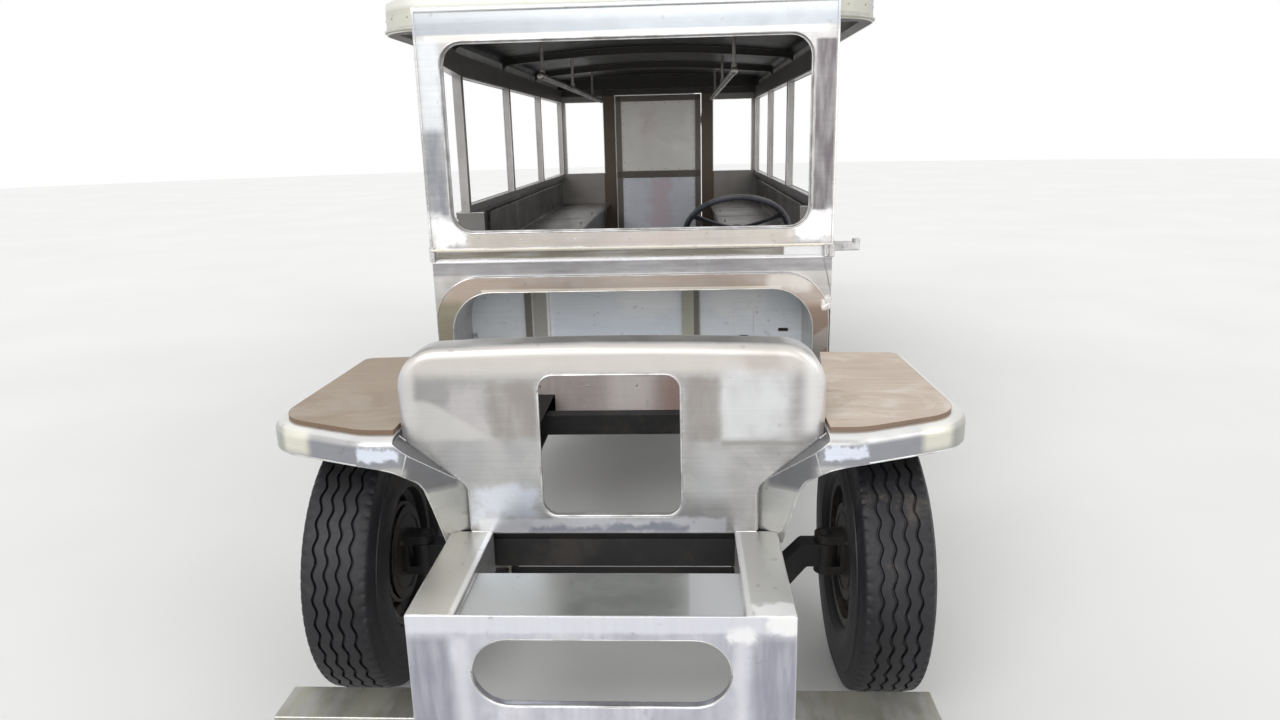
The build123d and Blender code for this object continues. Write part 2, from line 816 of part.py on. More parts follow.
def cowl():
    """Box round the hood arch, with the lip on which a hood would rest."""
    box = block((-cowl_half, cowl_half), (cowl_y, firewall_y), (cowl_foot, cowl_top))
    tunnel = arch_face(arch_half, arch_top, arch_corner, cowl_foot - cut_over)
    lip_outer = arch_face(arch_lip_half, arch_top + arch_lip_width, arch_corner + 15, cowl_foot + 180)
    lip = along_y(lip_outer, cowl_y - arch_lip, cowl_y + cut_over)
    ridge = block((-cowl_half, cowl_half), (cowl_y - ridge_depth, cowl_y + cut_over), (ridge_low, ridge_high))
    ledge = block((-cowl_half, cowl_half), (cowl_y - ledge_depth, cowl_y + cut_over),
                  (cowl_top - ledge_height, cowl_top))
    channel = block((-cowl_half + 25, channel_right), (cowl_y - cut_over, cowl_y + channel_depth),
                    (channel_low, channel_high))
    whole = fuse([box, lip, ridge, ledge]) - channel
    return whole - along_y(tunnel, cowl_y - arch_lip - cut_over, firewall_y + cut_over)


firewall_ribs = (
    # low x, high x
    (-444, -346), (188, 256),
)
firewall_slots = (
    # low x, high x, low z, high z
    (572, 612, 858, 872),
)


def column_point(along):
    """Point on the steering column's axis, measured up from the wheel's centre."""
    tilt = radians(column_tilt)
    return (column_x, wheel_centre_y + along * sin(tilt), wheel_centre_z + along * cos(tilt))


column_joint = column_point(-column_length)
shaft_foot = (shaft_foot_x, firewall_y - shaft_foot_gap, shaft_foot_z)


def firewall():
    """Panel behind the engine bay with two ribs and the apron under it."""
    panel = block((-cowl_half, cowl_half), (firewall_y, firewall_y + firewall_sheet), (floor_top, cowl_top))
    pieces = [panel]
    for span in firewall_ribs:
        pieces.append(block(span, (firewall_y - rib_depth, firewall_y + cut_over),
                            (floor_top + 10, arch_top - 6)))
    apron_half = cowl_half - apron_inset
    front = firewall_y - apron_sheet
    pieces.append(block((-apron_half, apron_half), (front, firewall_y), (rail_top, floor_top + cut_over)))
    pieces.append(block((-apron_half, apron_half), (front, firewall_y + cut_over), (floor_top, floor_top + 20)))
    pieces.append(block((-rail_inner + sheet, rail_inner - sheet), (front, firewall_y),
                        (rail_bottom + sheet, rail_top + cut_over)))
    cuts = [rod(shaft_foot, column_joint, shaft_radius + shaft_hole_gap)]
    for low_x, high_x, low_z, high_z in firewall_slots:
        cuts.append(block((low_x, high_x), (firewall_y - cut_over, firewall_y + firewall_sheet + cut_over),
                          (low_z, high_z)))
    return fuse(pieces) - fuse(cuts)


def windscreen_frame():
    """Frame with an upright flange at each side and a beaded upper edge."""
    outer = rounded_face([(frame_half, cowl_top, 0), (frame_half, frame_top, 0),
                          (-frame_half, frame_top, 0), (-frame_half, cowl_top, 0)])
    screen = rounded_face([(screen_half, screen_low, screen_corner),
                           (screen_half, screen_high, screen_corner),
                           (-screen_half, screen_high, screen_corner),
                           (-screen_half, screen_low, screen_corner)])
    pieces = [along_y(outer, cowl_y, cowl_y + frame_depth)]
    bead = (cowl_y + header_bead - flange_lead, frame_top - header_bead)
    pieces.append(rod((-frame_half, *bead), (frame_half, *bead), header_bead))
    for side in (-1, 1):
        low, high = sorted((side * (frame_half - cut_over), side * (frame_half + flange_proud)))
        pieces.append(block((low, high), (cowl_y - flange_lead, cowl_y + frame_depth), (cowl_top, frame_top)))
    return fuse(pieces) - along_y(screen, cowl_y - flange_lead - cut_over, cowl_y + frame_depth + cut_over)


def roof_face(inset, low, drop):
    """Section of the roof, in from its sides and down from its skin."""
    half = roof_half - inset
    edge = roof_edge - drop
    peak = edge + roof_crown
    return rounded_face([(half, low, 0), (half, edge, roof_edge_radius),
                         (0, peak, crown_radius(half, roof_crown, roof_crown_flat)),
                         (-half, edge, roof_edge_radius), (-half, low, 0)])


def roof():
    """Arched skin with boxed sides, front and rear headers and cross bows."""
    front = cowl_y + roof_setback
    back = rear_y + roof_overhang
    hollow = roof_face(roof_side, roof_low - cut_over, roof_skin)
    skin = along_y(roof_face(0, roof_low, 0), front, back)
    skin = skin - along_y(hollow, front - cut_over, back + cut_over)
    section = roof_face(roof_side - cut_over, roof_low, roof_skin - cut_over)
    screen_seat = frame_half + flange_proud + seat_gap
    brow = along_y(section, front, front + header_depth)
    brow = brow - block((-screen_seat, screen_seat), (front - cut_over, cowl_y + frame_depth + seat_gap),
                        (roof_low - cut_over, frame_top))
    brow = brow - block((-frame_half + pillar_size, frame_half - pillar_size),
                        (cowl_y + frame_depth, front + header_depth + cut_over),
                        (roof_low - cut_over, frame_top))
    pieces = [skin, brow, along_y(section, rear_y - side_thickness, rear_y)]
    under = roof_face(roof_side - cut_over, roof_low - bow_width, roof_skin + bow_depth)
    for bay in range(-1, bay_count):
        middle = pillar_y + pillar_size / 2 + bay * pillar_pitch if bay >= 0 else pillar_y - door_gap / 2
        bow = along_y(section, middle - bow_width / 2, middle + bow_width / 2)
        pieces.append(bow - along_y(under, middle - bow_width, middle + bow_width))
    whole = fuse(pieces)
    plan = rounded_face([(roof_half, front, roof_front_corner), (roof_half, back, roof_rear_corner),
                         (-roof_half, back, roof_rear_corner), (-roof_half, front, roof_front_corner)])
    return whole & along_z(plan, roof_low - cut_over, roof_peak + cut_over)


def side_wall(side):
    """Lower side of the load space with its wheel arch, and the sill under the doorway, for +X."""
    inner = side_outer - side_thickness
    wall = block((inner, side_outer), (pillar_y, rear_y), (side_low, belt_z))
    arch = rod((inner - cut_over, rear_axle_y, tyre_radius), (side_outer + 20, rear_axle_y, tyre_radius),
               rear_arch_radius)
    jamb = block((cowl_half, inner + cut_over), (pillar_y, pillar_y + side_thickness), (side_low, belt_z))
    sill = block((cowl_half, cowl_half + side_thickness), (cowl_y, pillar_y + cut_over), (side_low, floor_top))
    cap = block((inner, side_outer + 6), (pillar_y, rear_y), (belt_z - sill_rail, belt_z))
    hoop_radius = rear_arch_radius + hoop_width
    hoop_x = (side_outer - cut_over, side_outer + 8)
    hoop = rod((hoop_x[0], rear_axle_y, tyre_radius), (hoop_x[1], rear_axle_y, tyre_radius), hoop_radius)
    hoop = hoop & block(hoop_x, (rear_axle_y - hoop_radius, rear_axle_y + hoop_radius),
                        (side_low, tyre_radius + hoop_radius))
    whole = fuse([wall, hoop, jamb, sill, cap]) - arch
    return whole if side > 0 else other_side(whole)


def window_frame(side):
    """Posts and rails over the side wall, with three open windows, and the doorway's header, for +X."""
    x = (window_outer - pillar_size, window_outer)
    z = (window_rail_low, roof_low)
    frame_back = cowl_y + frame_depth
    header = make_face(Polyline((frame_half - pillar_size, frame_back), (frame_half, frame_back),
                                (x[1], pillar_y + cut_over), (x[0], pillar_y + cut_over), close=True))
    pieces = [along_z(header, *z), block(x, (pillar_y, rear_y), z)]
    pieces.append(block(x, (pillar_y, rear_y), (belt_z, belt_z + sill_rail)))
    for post in range(bay_count + 1):
        low = pillar_y + post * pillar_pitch
        pieces.append(block(x, (low, low + pillar_size), (belt_z, roof_low)))
    whole = fuse(pieces)
    return whole if side > 0 else other_side(whole)


def rear_wall():
    y = (rear_y - side_thickness, rear_y)
    half = side_outer - side_thickness
    panel = block((-half, half), y, (rail_top, belt_z))
    upper_half = window_outer - pillar_size
    panel = panel + block((-upper_half, upper_half), y, (belt_z, roof_low))
    doorway = block((-door_half, door_half), (y[0] - 1, y[1] + 1), (floor_top, door_high + door_clear))
    cuts = [doorway]
    for side in (-1, 1):
        low, high = sorted((side * (door_half + rear_window_inset), side * (upper_half - rear_window_edge)))
        cuts.append(block((low, high), (y[0] - 1, y[1] + 1), (belt_z + sill_rail, window_rail_low)))
    pieces = [panel - fuse(cuts)]
    axis = (door_half + hinge_offset / 2, rear_y + hinge_offset)
    reach = hinge_half + cut_over + hinge_knuckle
    for height in hinge_heights:
        pieces.append(rod((*axis, height - reach), (*axis, height + reach), hinge_pin))
        for low in (height - reach, height + hinge_half + cut_over):
            z = (low, low + hinge_knuckle)
            pieces.append(rod((*axis, z[0]), (*axis, z[1]), hinge_radius))
            pieces.append(block((axis[0], axis[0] + hinge_leaf), (rear_y - cut_over, rear_y + 5), z))
            pieces.append(block((axis[0] - 2, axis[0] + hinge_radius), (rear_y + 3, axis[1]), z))
    return fuse(pieces)


def rear_door():
    """Two-panel door on two hinges at the +X side of the rear doorway."""
    half = door_half - door_clear
    y = (rear_y - door_thickness, rear_y)
    slab = block((-half, half), y, (door_low, door_high))
    panels = ((door_low + door_stile, door_mid_z - door_rail_half),
              (door_mid_z + door_rail_half, door_high - door_stile))
    recess_depth = (door_thickness - door_panel) / 2
    recesses = []
    for z in panels:
        for face in ((y[0] - cut_over, y[0] + recess_depth), (y[1] - recess_depth, y[1] + cut_over)):
            recesses.append(block((-half + door_stile, half - door_stile), face, z))
    pieces = [slab - fuse(recesses)]
    axis = (door_half + hinge_offset / 2, rear_y + hinge_offset)
    bores = []
    for height in hinge_heights:
        z = (height - hinge_half, height + hinge_half)
        pieces.append(rod((*axis, z[0]), (*axis, z[1]), hinge_radius))
        pieces.append(block((axis[0] - hinge_leaf - 5, half), (rear_y - cut_over, rear_y + 5), z))
        pieces.append(block((half - cut_over, axis[0]), (rear_y + seat_gap, rear_y + 5), z))
        pieces.append(block((axis[0] - hinge_radius, axis[0] + 2), (rear_y + 3, axis[1]), z))
        bores.append(rod((*axis, z[0] - cut_over), (*axis, z[1] + cut_over), hinge_pin + pin_gap))
    handle_x = (-half + 12, -half + 12 + handle_width)
    handle = block(handle_x, (rear_y - cut_over, rear_y + handle_reach), (handle_low, handle_high))
    grip = block((handle_x[0] - cut_over, handle_x[1] + cut_over), (rear_y, rear_y + handle_reach - handle_bar),
                 (handle_low + handle_width, handle_high - handle_width))
    pieces.append(handle - grip)
    return fuse(pieces) - fuse(bores)


def floor():
    """Floor sheet with cross bearers that stand on the rails."""
    low = floor_top - floor_thickness
    half = side_outer - side_thickness
    deck = block((-half, half), (pillar_y + side_thickness, rear_y - side_thickness), (low, floor_top))
    deck = deck + block((-cowl_half, cowl_half), (firewall_y, pillar_y + side_thickness + 1), (low, floor_top))
    notches = []
    for side in (-1, 1):
        a, b = sorted((side * wheel_box_inner, side * (half + 1)))
        notches.append(block((a, b), (rear_axle_y - wheel_box_half, rear_axle_y + wheel_box_half),
                             (low - 1, floor_top + 1)))
    deck = deck - fuse(notches)
    pieces = [deck]
    start = firewall_y + bearer_gap
    pitch = (rear_y - bearer_gap - start) / (bearer_count - 1)
    for bearer in range(bearer_count):
        middle = start + bearer * pitch
        pieces.append(block((-wheel_box_inner, wheel_box_inner), (middle - bearer_half, middle + bearer_half),
                            (rail_top, low + cut_over)))
    return fuse(pieces)


def wheel_box(side):
    """Closed inner arch over a rear wheel, drawn for +X."""
    outer_x = side_outer - side_thickness
    y = (rear_axle_y - wheel_box_half, rear_axle_y + wheel_box_half)
    low = floor_top - floor_thickness
    box = block((wheel_box_inner, outer_x), y, (low, wheel_box_top))
    inner = block((wheel_box_inner + sheet, outer_x + 1), (y[0] + sheet, y[1] - sheet),
                  (low - 1, wheel_box_top - sheet))
    whole = box - inner
    return whole if side > 0 else other_side(whole)


bench_y = (pillar_y + bench_front_gap, rear_y - side_thickness)


def bench(side):
    """Folded-sheet bench along the side wall, drawn for +X."""
    outer = side_outer - side_thickness
    riser_x = bench_inner + bench_overhang
    z = (floor_top, bench_top - bench_panel + cut_over)
    top = block((bench_inner, outer), bench_y, (bench_top - bench_panel, bench_top))
    riser = block((riser_x, riser_x + sheet), bench_y, z)
    end = block((riser_x, outer), (bench_y[0], bench_y[0] + sheet), z)
    back = block((outer - bench_back, outer), bench_y, (bench_top - cut_over, belt_z - bench_back_gap))
    whole = fuse([top, riser, end, back])
    return whole if side > 0 else other_side(whole)


front_seat_rows = (
    # low x, high x
    (200, 640), (-660, -60),
)


def front_seats():
    """Bare seat boxes, open below."""
    front = firewall_y + seat_front_gap
    back = front + seat_depth
    seats = []
    for low, high in front_seat_rows:
        box = block((low, high), (front, back), (floor_top, seat_top))
        hollow = block((low + sheet, high - sheet), (front + sheet, back - sheet),
                       (floor_top - cut_over, seat_top - seat_lid))
        seats.append(box - hollow)
    return Compound(children=seats)


def dashboard():
    front = firewall_y + firewall_sheet
    low = cowl_top - dash_height
    rows = [(front, low, 0), (front + dash_depth - 30, low, 20), (front + dash_depth, cowl_top - 40, 20),
            (front + dash_depth - 15, cowl_top, 15), (front, cowl_top, 0)]
    return along_x(rounded_face(rows), -cowl_half + 15, cowl_half - 15)


def steering_column():
    """Column tube, joint and shaft down to the steering box on the rail."""
    tube = rod(column_joint, column_point(-column_gap), column_radius)
    joint = Pos(*column_joint) * Sphere(joint_radius)
    shaft = rod(shaft_foot, column_joint, shaft_radius)
    foot_y = shaft_foot[1]
    box = block((rail_outer, rail_outer + box_width), (foot_y - box_front, foot_y + box_rear),
                (rail_top - box_drop, rail_top + box_rise))
    arm_x = (rail_outer + pitman_arm[0], rail_outer + pitman_arm[1])
    arm_y = (foot_y - box_front + 30, foot_y - box_front + 60)
    arm = block(arm_x, arm_y, (rail_bottom - pitman_drop, rail_top - box_drop + cut_over))
    stay_y = firewall_y + firewall_sheet + stay_setback
    stay_z = column_point((stay_y - wheel_centre_y) / sin(radians(column_tilt)))[2]
    stay = block((column_x - stay_half, column_x + stay_half), (stay_y - stay_half, stay_y + stay_half),
                 (stay_z, cowl_top - dash_height))
    return fuse([tube, joint, shaft, box, arm, stay])


def steering_wheel():
    """Rim, three spokes and hub about the column's axis."""
    place = Pos(*column_point(0)) * Rot(-column_tilt, 0, 0)
    spoke_length = steering_radius - steering_rim
    rim = Torus(spoke_length, steering_rim)
    hub = Pos(0, 0, -steering_hub_height / 4) * Cylinder(steering_hub_radius, steering_hub_height)
    spokes = []
    for angle in (90, 210, 330):
        spoke = Pos(spoke_length / 2, 0, 0) * Box(spoke_length, spoke_width, spoke_thickness)
        spokes.append(Rot(0, 0, angle) * spoke)
    return place * fuse([hub, rim] + spokes)


def hand_rail(side):
    """Ceiling rail hung from the roof bows, drawn for +X."""
    start = pillar_y + pillar_size / 2
    end = start + (bay_count - 1) * pillar_pitch
    pieces = [rod((hand_rail_x, start - hand_rail_front, hand_rail_z),
                  (hand_rail_x, end + hand_rail_rear, hand_rail_z), hand_rail_radius)]
    under_bows = roof_face(roof_side, hand_rail_z, roof_skin + bow_depth + seat_gap)
    for bay in range(bay_count):
        y = start + bay * pillar_pitch
        hanger = rod((hand_rail_x, y, hand_rail_z), (hand_rail_x, y, roof_peak), hanger_radius)
        pieces.append(hanger & along_y(under_bows, y - bow_width, y + bow_width))
    whole = fuse(pieces)
    return whole if side > 0 else other_side(whole)


def side_step(side):
    """Step under the driver's doorway with two brackets from the rail, drawn for +X."""
    y = (nose_y + splash_foot_y - sheet, pillar_y + step_rear)
    tread = block((step_inner, step_outer), y, (step_top - step_depth, step_top - seat_gap))
    tread = tread - block((step_inner + sheet, step_outer - sheet), (y[0] + sheet, y[1] - sheet),
                          (step_top - step_depth - cut_over, step_top - sheet))
    pieces = [tread]
    post_x = (step_inner + sheet, step_inner + bracket_height)
    top = rail_bottom + bracket_height
    for middle in (firewall_y + front_bracket_gap, pillar_y - rear_bracket_gap):
        span = (middle - bracket_half, middle + bracket_half)
        pieces.append(block((rail_outer, post_x[1]), span, (rail_bottom, top)))
        pieces.append(block(post_x, span, (step_top - step_depth / 2, top)))
    whole = fuse(pieces)
    return whole if side > 0 else other_side(whole)


def rear_step():
    """Rear bumper beam on the rail ends, with the entry step in front of it."""
    end = overall_length / 2
    beam_low = rail_bottom - rear_beam_drop
    beam_high = beam_low + rear_beam_height
    beam = block((-rear_bumper_half, rear_bumper_half), (rail_rear_y, end), (beam_low, beam_high))
    hollow = block((-rear_bumper_half - cut_over, rear_bumper_half + cut_over),
                   (rail_rear_y - cut_over, end - sheet), (beam_low + sheet, rail_bottom - sheet))
    beam = fillet(beam.edges().filter_by(Axis.X).group_by(Axis.Y)[-1], 12)
    tread = block((-rail_inner + seat_gap, rail_inner - seat_gap), (rear_y + seat_gap, rail_rear_y + cut_over),
                  (beam_high - tread_height, beam_high))
    return (beam - hollow) + tread


wheel_places = (
    # name, across, along, side
    ("front_left", front_wheel_x, front_axle_y, 1),
    ("front_right", front_wheel_x, front_axle_y, -1),
    ("rear_left", rear_wheel_x, rear_axle_y, 1),
    ("rear_right", rear_wheel_x, rear_axle_y, -1),
)

save(chassis_frame(), "chassis_frame")
save(leaf_springs(), "leaf_springs")
save(front_axle(), "front_axle")
save(rear_axle(), "rear_axle")
save(fuel_tank(), "fuel_tank")
save(front_bumper(), "front_bumper")
save(bumper_deck(), "bumper_deck")
save(nose_shell(), "nose_shell")
save(cowl(), "cowl")
save(firewall(), "firewall")
save(windscreen_frame(), "windscreen_frame")
save(roof(), "roof")
save(rear_wall(), "rear_wall")
save(rear_door(), "rear_door")
save(floor(), "floor")
save(front_seats(), "front_seats")
save(dashboard(), "dashboard")
save(steering_column(), "steering_column")
save(steering_wheel(), "steering_wheel")
save(tie_rod(), "tie_rod")
save(rear_step(), "rear_step")
save(Compound(children=[fender_board(1), fender_board(-1)]), "fender_boards")
save(Compound(children=[wheel_box(1), wheel_box(-1)]), "wheel_boxes")
save(Compound(children=[bench(1), bench(-1)]), "benches")
save(Compound(children=[hand_rail(1), hand_rail(-1)]), "hand_rails")
save(Compound(children=[side_step(1), side_step(-1)]), "side_steps")
for hand, side in (("left", 1), ("right", -1)):
    save(knuckle(side), f"{hand}_knuckle")
    save(fender(side), f"{hand}_fender")
    save(side_wall(side), f"{hand}_side")
    save(window_frame(side), f"{hand}_window_frame")
for name, x, y, side in wheel_places:
    save(wheel_rim(x, y, side), f"{name}_rim")
    save(tyre(x, y, side), f"{name}_tyre")
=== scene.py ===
import json
import math
import random
import bpy
import bmesh
from mathutils import Matrix, Vector

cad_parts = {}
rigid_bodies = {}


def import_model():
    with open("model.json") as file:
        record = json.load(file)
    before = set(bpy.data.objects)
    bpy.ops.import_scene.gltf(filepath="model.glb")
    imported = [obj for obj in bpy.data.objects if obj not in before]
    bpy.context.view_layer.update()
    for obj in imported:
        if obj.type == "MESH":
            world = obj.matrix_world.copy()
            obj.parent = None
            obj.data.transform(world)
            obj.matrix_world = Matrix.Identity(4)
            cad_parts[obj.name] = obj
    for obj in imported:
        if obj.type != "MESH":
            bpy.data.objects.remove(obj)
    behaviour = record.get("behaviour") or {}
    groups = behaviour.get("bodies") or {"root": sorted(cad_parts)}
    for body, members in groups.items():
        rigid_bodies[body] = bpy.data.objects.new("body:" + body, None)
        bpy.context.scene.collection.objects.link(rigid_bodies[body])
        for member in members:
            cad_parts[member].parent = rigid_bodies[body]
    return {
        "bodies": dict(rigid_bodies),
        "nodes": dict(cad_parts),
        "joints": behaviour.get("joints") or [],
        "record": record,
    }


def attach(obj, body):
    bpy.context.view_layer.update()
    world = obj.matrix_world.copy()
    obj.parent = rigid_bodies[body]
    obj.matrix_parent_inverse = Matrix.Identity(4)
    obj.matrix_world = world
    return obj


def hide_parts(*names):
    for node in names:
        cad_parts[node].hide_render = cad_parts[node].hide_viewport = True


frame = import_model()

nodes = frame["nodes"]
scene = bpy.context.scene
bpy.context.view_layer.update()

# stations along the vehicle, in metres, as the solids have them
noseY, cowlY, firewallY, pillarY, rearY = -2.59, -1.543, -1.29, -0.64, 2.81
frontAxleY, rearAxleY = -2.29, 1.41
postWidth = 0.04
bayPitch = (rearY - postWidth - pillarY) / 3
print("frame loaded,", len(nodes), "nodes")

cameraView = {
    "place": (0.1937, -4.7204, 1.6305), "yaw": 0.0521, "pitch": -0.2521, "roll": 0.0237,
    "lens": 24.47, "sensor": 36.0, "clip": (0.02, 80),
}


def placeCamera():
    cy, sy = math.cos(cameraView["yaw"]), math.sin(cameraView["yaw"])
    cp, sp = math.cos(cameraView["pitch"]), math.sin(cameraView["pitch"])
    cr, sr = math.cos(cameraView["roll"]), math.sin(cameraView["roll"])
    right = Vector((cy * cr - sy * sp * sr, sy * cr + cy * sp * sr, -cp * sr))
    up = Vector((cy * sr + sy * sp * cr, sy * sr - cy * sp * cr, cp * cr))
    back = -Vector((-sy * cp, cy * cp, sp))
    matrix = Matrix((right, up, back)).transposed().to_4x4()
    matrix.translation = cameraView["place"]
    data = bpy.data.cameras.new("frontCamera")
    data.lens, data.sensor_width = cameraView["lens"], cameraView["sensor"]
    data.clip_start, data.clip_end = cameraView["clip"]
    camera = bpy.data.objects.new("frontCamera", data)
    camera.matrix_world = matrix
    scene.collection.objects.link(camera)
    scene.camera = camera


placeCamera()
print("camera placed")


def rgb(*tone):
    # screen values, 0 to 255, turned into the linear ones that sockets take
    values = [value / 255 for value in tone]
    return tuple(v / 12.92 if v <= 0.04045 else ((v + 0.055) / 1.055) ** 2.4 for v in values)


class Wire:
    # one socket, so that shader maths can be written as an expression
    def __init__(self, finish, socket):
        self.finish, self.socket = finish, socket

    def calc(self, operation, first, second):
        return self.finish.node("ShaderNodeMath", {"operation": operation}, {0: first, 1: second})

    def __add__(self, other):
        return self.calc("ADD", self, other)

    def __radd__(self, other):
        return self.calc("ADD", other, self)

    def __sub__(self, other):
        return self.calc("SUBTRACT", self, other)

    def __rsub__(self, other):
        return self.calc("SUBTRACT", other, self)

    def __mul__(self, other):
        return self.calc("MULTIPLY", self, other)

    def __rmul__(self, other):
        return self.calc("MULTIPLY", other, self)

    def size(self):
        return self.calc("ABSOLUTE", self, 0.0)

    def larger(self, other):
        return self.calc("MAXIMUM", self, other)


# one minus the cosine of a turn, from where a fold starts to show to where it shows in full
foldSpan = (0.004, 0.1)
# what a zone has where its own row doesn't say: soft ends, torn ends with their scale, share; last,
# how softly facings end and how far torn ends may drift
zoneLook = {"soft": 0.006, "ragged": 0.0, "tear": 18.0, "amount": 1.0, "both": False}
facingSoft, driftReach = 0.15, 4.0


class Finish:
    # one material or world, made node by node
    def __init__(self, name, store=bpy.data.materials):
        self.owner = store.new(name)
        self.owner.use_nodes = True
        self.tree = self.owner.node_tree
        self.tree.nodes.clear()
        self.kept = {}

    def node(self, kind, settings=None, sockets=None, output=0):
        made = self.tree.nodes.new(kind)
        for key, value in (settings or {}).items():
            setattr(made, key, value)
        for key, value in (sockets or {}).items():
            target = made.inputs[key]
            if isinstance(value, Wire):
                self.tree.links.new(value.socket, target)
            elif target.type == "RGBA":
                target.default_value = (*value[:3], 1.0)
            else:
                target.default_value = value
        return Wire(self, made.outputs[output] if made.outputs else None)

    def coord(self, axis):
        # where the shaded point lies on the piece: x, y, z, or its facing as nx, ny, nz
        if axis not in self.kept:
            source = 1 if len(axis) == 2 else 3
            whole = self.node("ShaderNodeTexCoord", output=source)
            for index, letter in enumerate("xyz"):
                key = ("n" if source == 1 else "") + letter
                self.kept[key] = self.node("ShaderNodeSeparateXYZ", None, {0: whole}, index)
        return self.kept[axis]

    def noise(self, scale, detail=4.0, rough=0.55, stretch=(1, 1, 1), shift=(0, 0, 0), warp=0.0):
        place = self.node("ShaderNodeTexCoord", output=3)
        place = self.node("ShaderNodeVectorMath", {"operation": "MULTIPLY_ADD"},
                          {0: place, 1: stretch, 2: shift})
        return self.node("ShaderNodeTexNoise", None,
                         {"Vector": place, "Scale": scale, "Detail": detail, "Roughness": rough,
                          "Distortion": warp})

    def fade(self, value, low, high):
        return self.node("ShaderNodeMapRange", {"interpolation_type": "SMOOTHSTEP"},
                         {0: value, 1: low, 2: high, 3: 0.0, 4: 1.0})

    def band(self, value, low, high, soft):
        return self.fade(value, low - soft, low + soft) * self.fade(value, high + soft, high - soft)

    def ramp(self, value, places, tones):
        made = self.node("ShaderNodeValToRGB", None, {0: value})
        elements = made.socket.node.color_ramp.elements
        elements.remove(elements[-1])
        for index, (place, tone) in enumerate(zip(places, tones)):
            element = elements.new(place) if index else elements[0]
            element.position, element.color = place, (*rgb(*tone), 1.0)
        return made

    def mix(self, factor, first, second, blend="MIX"):
        return self.node("ShaderNodeMix", {"data_type": "RGBA", "blend_type": blend},
                         {0: factor, 6: first, 7: second}, 2)

    def edge(self, radius):
        # one where the surface turns within the radius, such as at a fold or rim
        rounded = self.node("ShaderNodeBevel", {"samples": 4}, {"Radius": radius})
        flat = self.node("ShaderNodeNewGeometry", output=1)
        likeness = self.node("ShaderNodeVectorMath", {"operation": "DOT_PRODUCT"}, {0: rounded, 1: flat}, 1)
        self.kept["rounded"] = rounded
        return self.fade(1 - likeness, *foldSpan)

    def bump(self, height, strength, distance):
        sockets = {"Height": height, "Strength": strength, "Distance": distance}
        if "rounded" in self.kept:
            sockets["Normal"] = self.kept["rounded"]
        return self.node("ShaderNodeBump", None, sockets)

    def close(self, shader="ShaderNodeBsdfPrincipled", output="ShaderNodeOutputMaterial", **sockets):
        names = {key.replace("_", " "): value for key, value in sockets.items()}
        self.node(output, None, {0: self.node(shader, None, names)})
        return self

    def patch(self, zone):
        # mask of a zone: spans along x, y, z, facings as nx, ny, nz, and a slanting cut over x and z
        zone = {**zoneLook, **zone}
        soft, ragged, mask = zone["soft"], zone["ragged"], zone["amount"]
        drift = (self.noise(zone["tear"], 5, 0.6) - 0.5) * (driftReach * ragged) if ragged else None
        for axis in ("x", "y", "z", "nx", "ny", "nz"):
            if axis not in zone:
                continue
            value = self.coord(axis)
            if axis == "x" and zone["both"]:
                value = value.size()
            if drift and len(axis) == 1:
                value = value + drift
            mask = self.band(value, *zone[axis], facingSoft if len(axis) == 2 else soft) * mask
        if "cut" in zone:
            slope, low, high = zone["cut"]
            mask = self.band(self.coord("z") + self.coord("x") * slope, low, high, soft) * mask
        return mask


steelLook = {
    "tones": ((173, 172, 171), (192, 191, 190), (209, 209, 208)), "stops": (0.38, 0.5, 0.6),
    "clouds": 2.6, "grain": 14.0, "brush": (5, 5, 150), "swirl": 7.0, "shares": (0.5, 0.12, 0.1, 0.28),
    "metallic": 0.82, "roughness": 0.36, "roughShares": (0.25, 0.08, 0.08),
    # strength, tone and radius of the painted highlight along folds and rims
    "edge": 0.55, "edgeTone": (250, 250, 248), "edgeRadius": 0.004,
    "spots": 0.25, "spotTone": (120, 112, 104), "spotSpan": (0.66, 0.74), "spotScale": 2.4,
    "streaks": 0.07, "streakStops": (0.3, 0.7), "streakTones": ((120, 120, 122), (255, 255, 255)),
    "lineDepth": 0.35, "lineSpan": (0.3, 0.65),
    "relief": (0.35, 0.5, 1.6, 0.7), "bump": (0.25, 0.0012),
}


def sheetSteel(name, zones=(), **changes):
    # bare sheet steel: clouds, brushed lines, small stains; zones hold ground patches and painted light and
    # shade; folds get a painted highlight
    look = {**steelLook, **changes}
    finish = Finish(name)
    clouds = finish.noise(look["clouds"], 5, 0.6, warp=0.6)
    grain = finish.noise(look["grain"], 6, 0.62)
    brush = finish.noise(1.0, 3, 0.5, look["brush"])
    swirl = finish.noise(look["swirl"], 3, 0.5, (1, 1, 0.6), warp=1.6)
    a, b, c, d = look["shares"]
    tone = finish.ramp(clouds * a + grain * b + brush * c + swirl * d, look["stops"], look["tones"])
    for zone in zones:
        mask = finish.patch(zone)
        if "lines" in zone:
            lines = finish.fade(finish.noise(1.0, 3, 0.5, zone["lines"]), *look["lineSpan"])
            mask = mask * (lines * look["lineDepth"] + (1 - look["lineDepth"]))
        tone = finish.mix(mask, tone, rgb(*zone["tone"]))
    stains = finish.fade(finish.noise(look["grain"] * look["spotScale"], 3, 0.5), *look["spotSpan"])
    tone = finish.mix(stains * look["spots"], tone, rgb(*look["spotTone"]))
    # painted highlight: folds and rims lighter where the surface turns
    fold = finish.edge(look["edgeRadius"])
    tone = finish.mix(fold * look["edge"], tone, rgb(*look["edgeTone"]))
    streaks = finish.ramp(brush, look["streakStops"], look["streakTones"])
    shade = finish.mix(look["streaks"], tone, streaks, "MULTIPLY")
    a, b, c = look["roughShares"]
    rough = look["roughness"] + (grain - 0.5) * a + (brush - 0.5) * b - fold * c
    a, b, c, d = look["relief"]
    height = brush * a + grain * b + clouds * c + swirl * d
    return finish.close(Base_Color=shade, Metallic=look["metallic"], Roughness=rough,
                        Normal=finish.bump(height, *look["bump"]))


